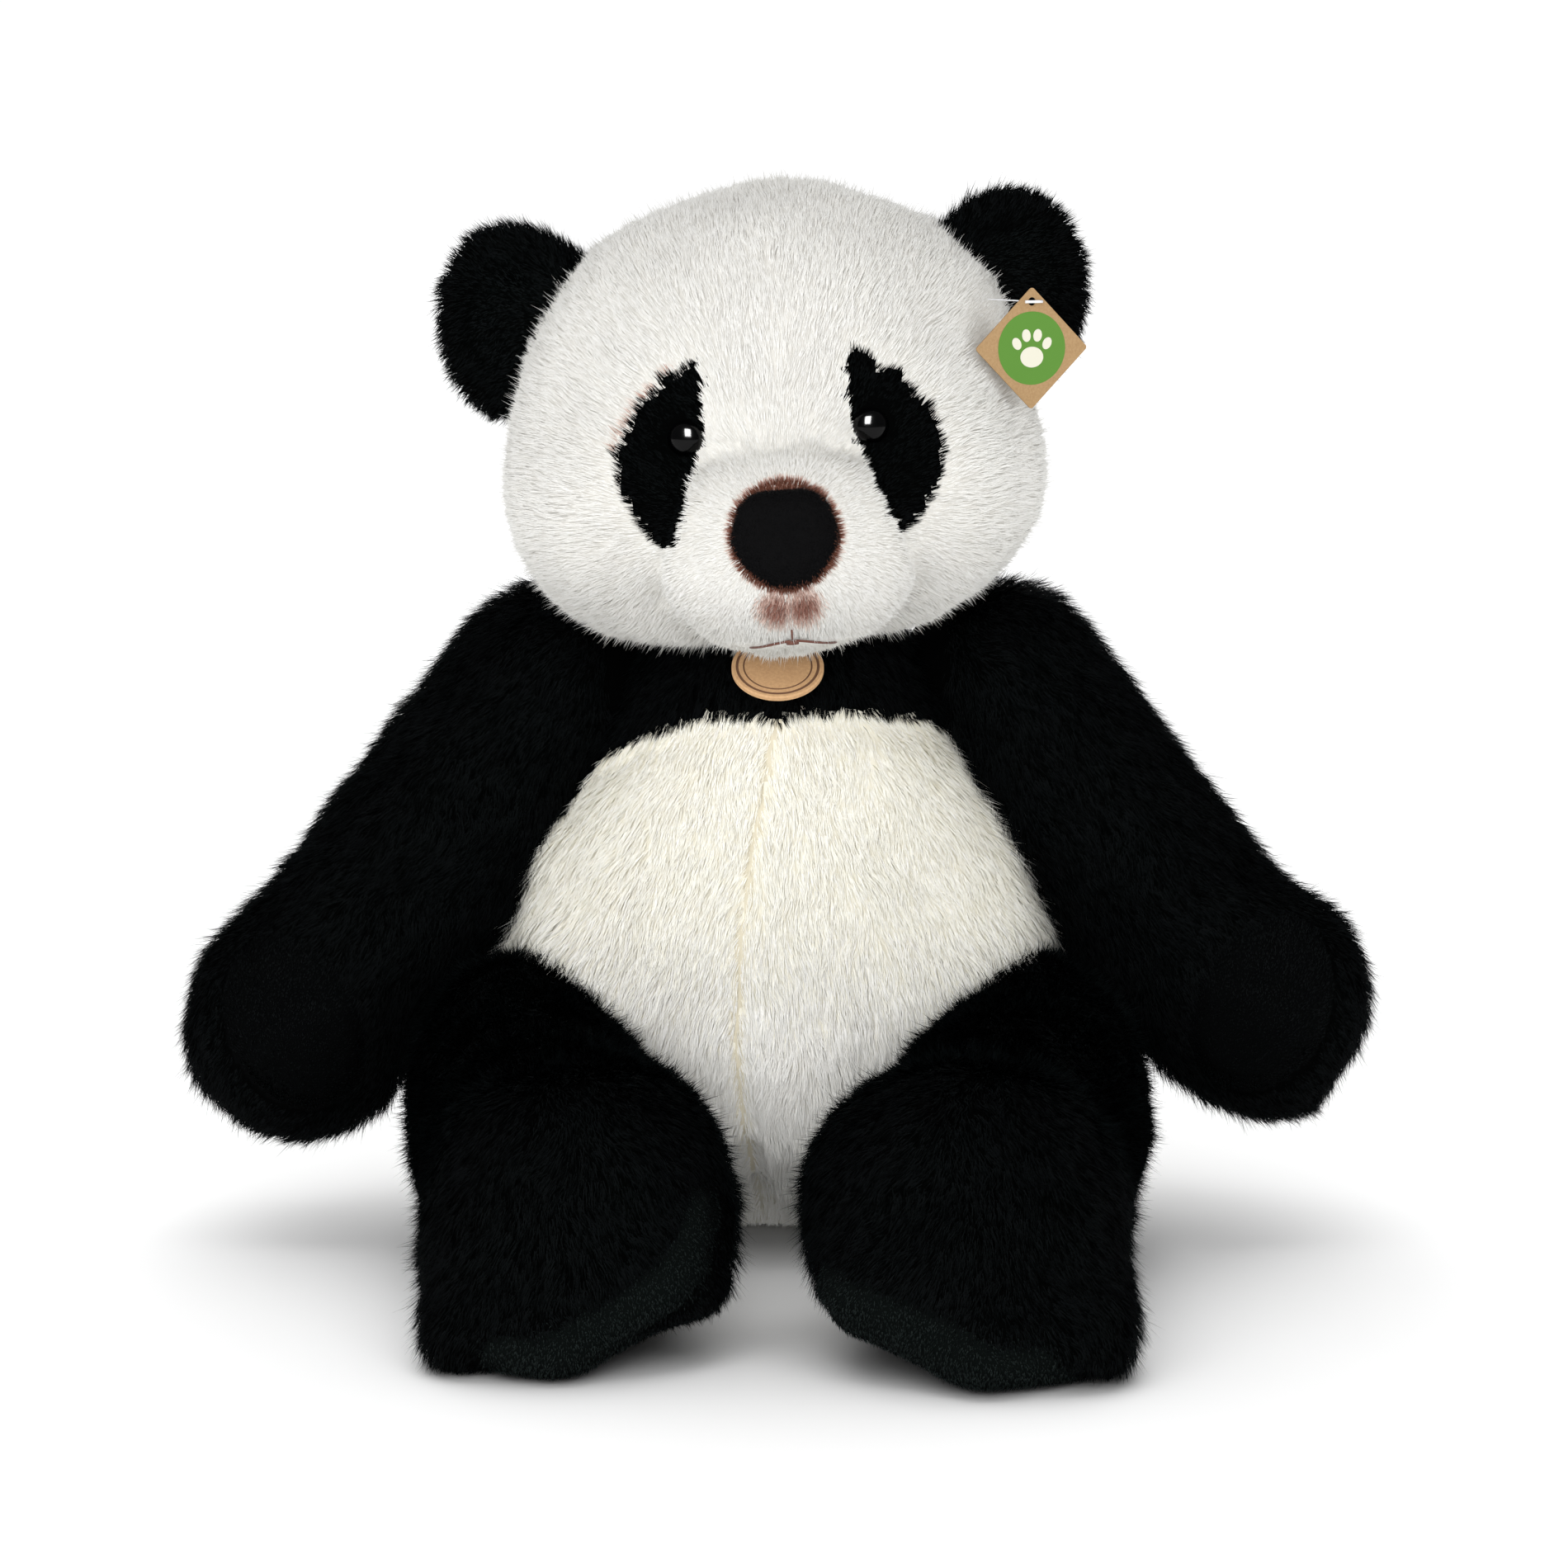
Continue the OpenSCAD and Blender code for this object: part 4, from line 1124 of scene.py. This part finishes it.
tie(stem, "torso", ["medallion_pin"], riders=[stud])

# care label, a blank folded ribbon
RIBBON = noisy(material("label ribbon", (0.85, 0.85, 0.84), rough=0.6, sheen=0.2),
               (0.80, 0.80, 0.79), (0.88, 0.88, 0.87), 500, 0.2)
line = [(0, 0.3)] + [(y, 0.3 - 2.0 * (y / 24) ** 2) for y in np.linspace(3, 24, 8)]
line += [(25.6, -1.3), (25.9, -0.7), (25.4, -0.1)]
line += [(y, 1.7 - 2.0 * (y / 24) ** 2) for y in np.linspace(24, 0, 9)]
line = np.array(line)
along = np.gradient(line, axis=0)
half = unit(np.stack([-along[:, 1], along[:, 0]], 1)) * 0.22
bm = bmesh.new()
rows = []
for x in np.linspace(-12, 12, 7):
    rows.append(([bm.verts.new((x * MM, y * MM, z * MM)) for y, z in line + half],
                 [bm.verts.new((x * MM, y * MM, z * MM)) for y, z in line - half]))
for (a0, b0), (a1, b1) in zip(rows[:-1], rows[1:]):
    for i in range(len(line) - 1):
        bm.faces.new([a0[i], a0[i + 1], a1[i + 1], a1[i]])
        bm.faces.new([b0[i], b1[i], b1[i + 1], b0[i + 1]])
    for i in (0, len(line) - 1):
        bm.faces.new([a0[i], a1[i], b1[i], b0[i]])
for a0, b0 in (rows[0], rows[-1]):
    for i in range(len(line) - 1):
        bm.faces.new([a0[i], b0[i], b0[i + 1], a0[i + 1]])
bmesh.ops.recalc_face_normals(bm, faces=bm.faces)
ob = join("care_ribbon", [(bm, RIBBON)], place(34, 118.5, 62, -14))
tie(ob, "torso", ["care_label"])

# ---------- floor, light, camera
floor_me = bpy.data.meshes.new("floor")
floor_me.from_pydata([(-9, -7, 0), (9, -7, 0), (9, 11, 0), (-9, 11, 0)], [], [(0, 1, 2, 3)])
floor_me.materials.append(material("floor paper", (0.97, 0.97, 0.97), rough=0.95, spec=0.0))
floor = link("floor", floor_me)

world = bpy.data.worlds.new("studio")
bpy.context.scene.world = world
world.use_nodes = True
wt = world.node_tree
bg = wt.nodes["Background"]
bg.inputs["Color"].default_value = (1, 1, 1, 1)
bg.inputs["Strength"].default_value = 0.16
paper = wt.nodes.new("ShaderNodeBackground")
paper.inputs["Color"].default_value = (1, 1, 1, 1)
paper.inputs["Strength"].default_value = 1.05
seen = wt.nodes.new("ShaderNodeLightPath")
mix = wt.nodes.new("ShaderNodeMixShader")
wt.links.new(seen.outputs["Is Camera Ray"], mix.inputs["Fac"])
wt.links.new(bg.outputs["Background"], mix.inputs[1])
wt.links.new(paper.outputs["Background"], mix.inputs[2])
wt.links.new(mix.outputs["Shader"], wt.nodes["World Output"].inputs["Surface"])


def area(name, at, aim, size, power):
    li = bpy.data.lights.new(name, "AREA")
    li.shape = "RECTANGLE"
    li.size, li.size_y = size
    li.energy = power
    o = link(name, li)
    o.location = at
    o.rotation_euler = (Vector(aim) - Vector(at)).to_track_quat("-Z", "Y").to_euler()
    return o


key = area("key", (-0.4, -2.35, 1.3), (0, -0.05, 0.2), (1.5, 1.9), 38)
low = area("low front", (-0.15, -2.5, 0.5), (0, -0.05, 0.15), (1.6, 0.6), 24)
face = area("low face", (-0.1, -2.3, 0.2), (0, -0.1, 0.38), (1.4, 0.5), 9)
glint = area("eye light", (-0.1, -1.9, 1.75), (0, -0.1, 0.4), (1.3, 1.8), 620)
lamps = [
    area("left", (-2.0, -0.9, 1.3), (0, -0.05, 0.25), (1.0, 1.6), 13),
    area("right", (2.0, -0.7, 1.1), (0, -0.05, 0.25), (1.0, 1.6), 15),
    area("top", (0, 0.5, 2.4), (0, 0, 0.2), (1.6, 1.6), 8),
    area("behind", (0, 2.4, 1.4), (0, 0, 0.25), (1.6, 1.6), 24),
]
def lit(name, obs, state):
    """Light linking: a light with this collection reaches these objects only, or all but these."""
    c = bpy.data.collections.new(name)
    for k, o in enumerate(obs):
        c.objects.link(o)
        c.collection_objects[k].light_linking.link_state = state
    return c


head_names = ("head_skin", "pile_crown", "pile_cheek", "pile_muzzle", "pile_chin", "pile_eye")
head_obs = [o for o in bpy.data.objects if o.name.startswith(head_names)]
low.light_linking.receiver_collection = lit("body only", [floor, *eye_obs, *head_obs], "EXCLUDE")
face.light_linking.receiver_collection = lit("head only", head_obs, "INCLUDE")
glint.light_linking.receiver_collection = lit("eyes only", eye_obs, "INCLUDE")
for o in [key] + lamps:
    o.light_linking.receiver_collection = lit("not " + o.name, [floor, *eye_obs], "EXCLUDE")
# the floor has its own light from the front and from behind, so that it stays white up to the soft shadow
floor_only = lit("floor only", [floor], "INCLUDE")
for name, lean, power in (("floor wash front", 34, 1.35), ("floor wash back", -30, 2.5)):
    sun = bpy.data.lights.new(name, "SUN")
    sun.energy = power
    sun.angle = math.radians(80)
    sun_ob = link(name, sun)
    sun_ob.rotation_euler = (math.radians(lean), math.radians(-5), 0)
    sun_ob.light_linking.receiver_collection = floor_only

cam = bpy.data.cameras.new("camera")
cam.sensor_width = 36
cam.lens = 102.9
cam.clip_start = 0.05
cam.clip_end = 60
cam_ob = link("camera", cam)
cam_ob.location = (0.003, -2.2, 0.565)
cam_ob.rotation_euler = (math.radians(90 - 9), 0, 0)
bpy.context.scene.camera = cam_ob
bpy.context.scene.view_settings.view_transform = "Standard"
bpy.context.scene.view_settings.look = "None"
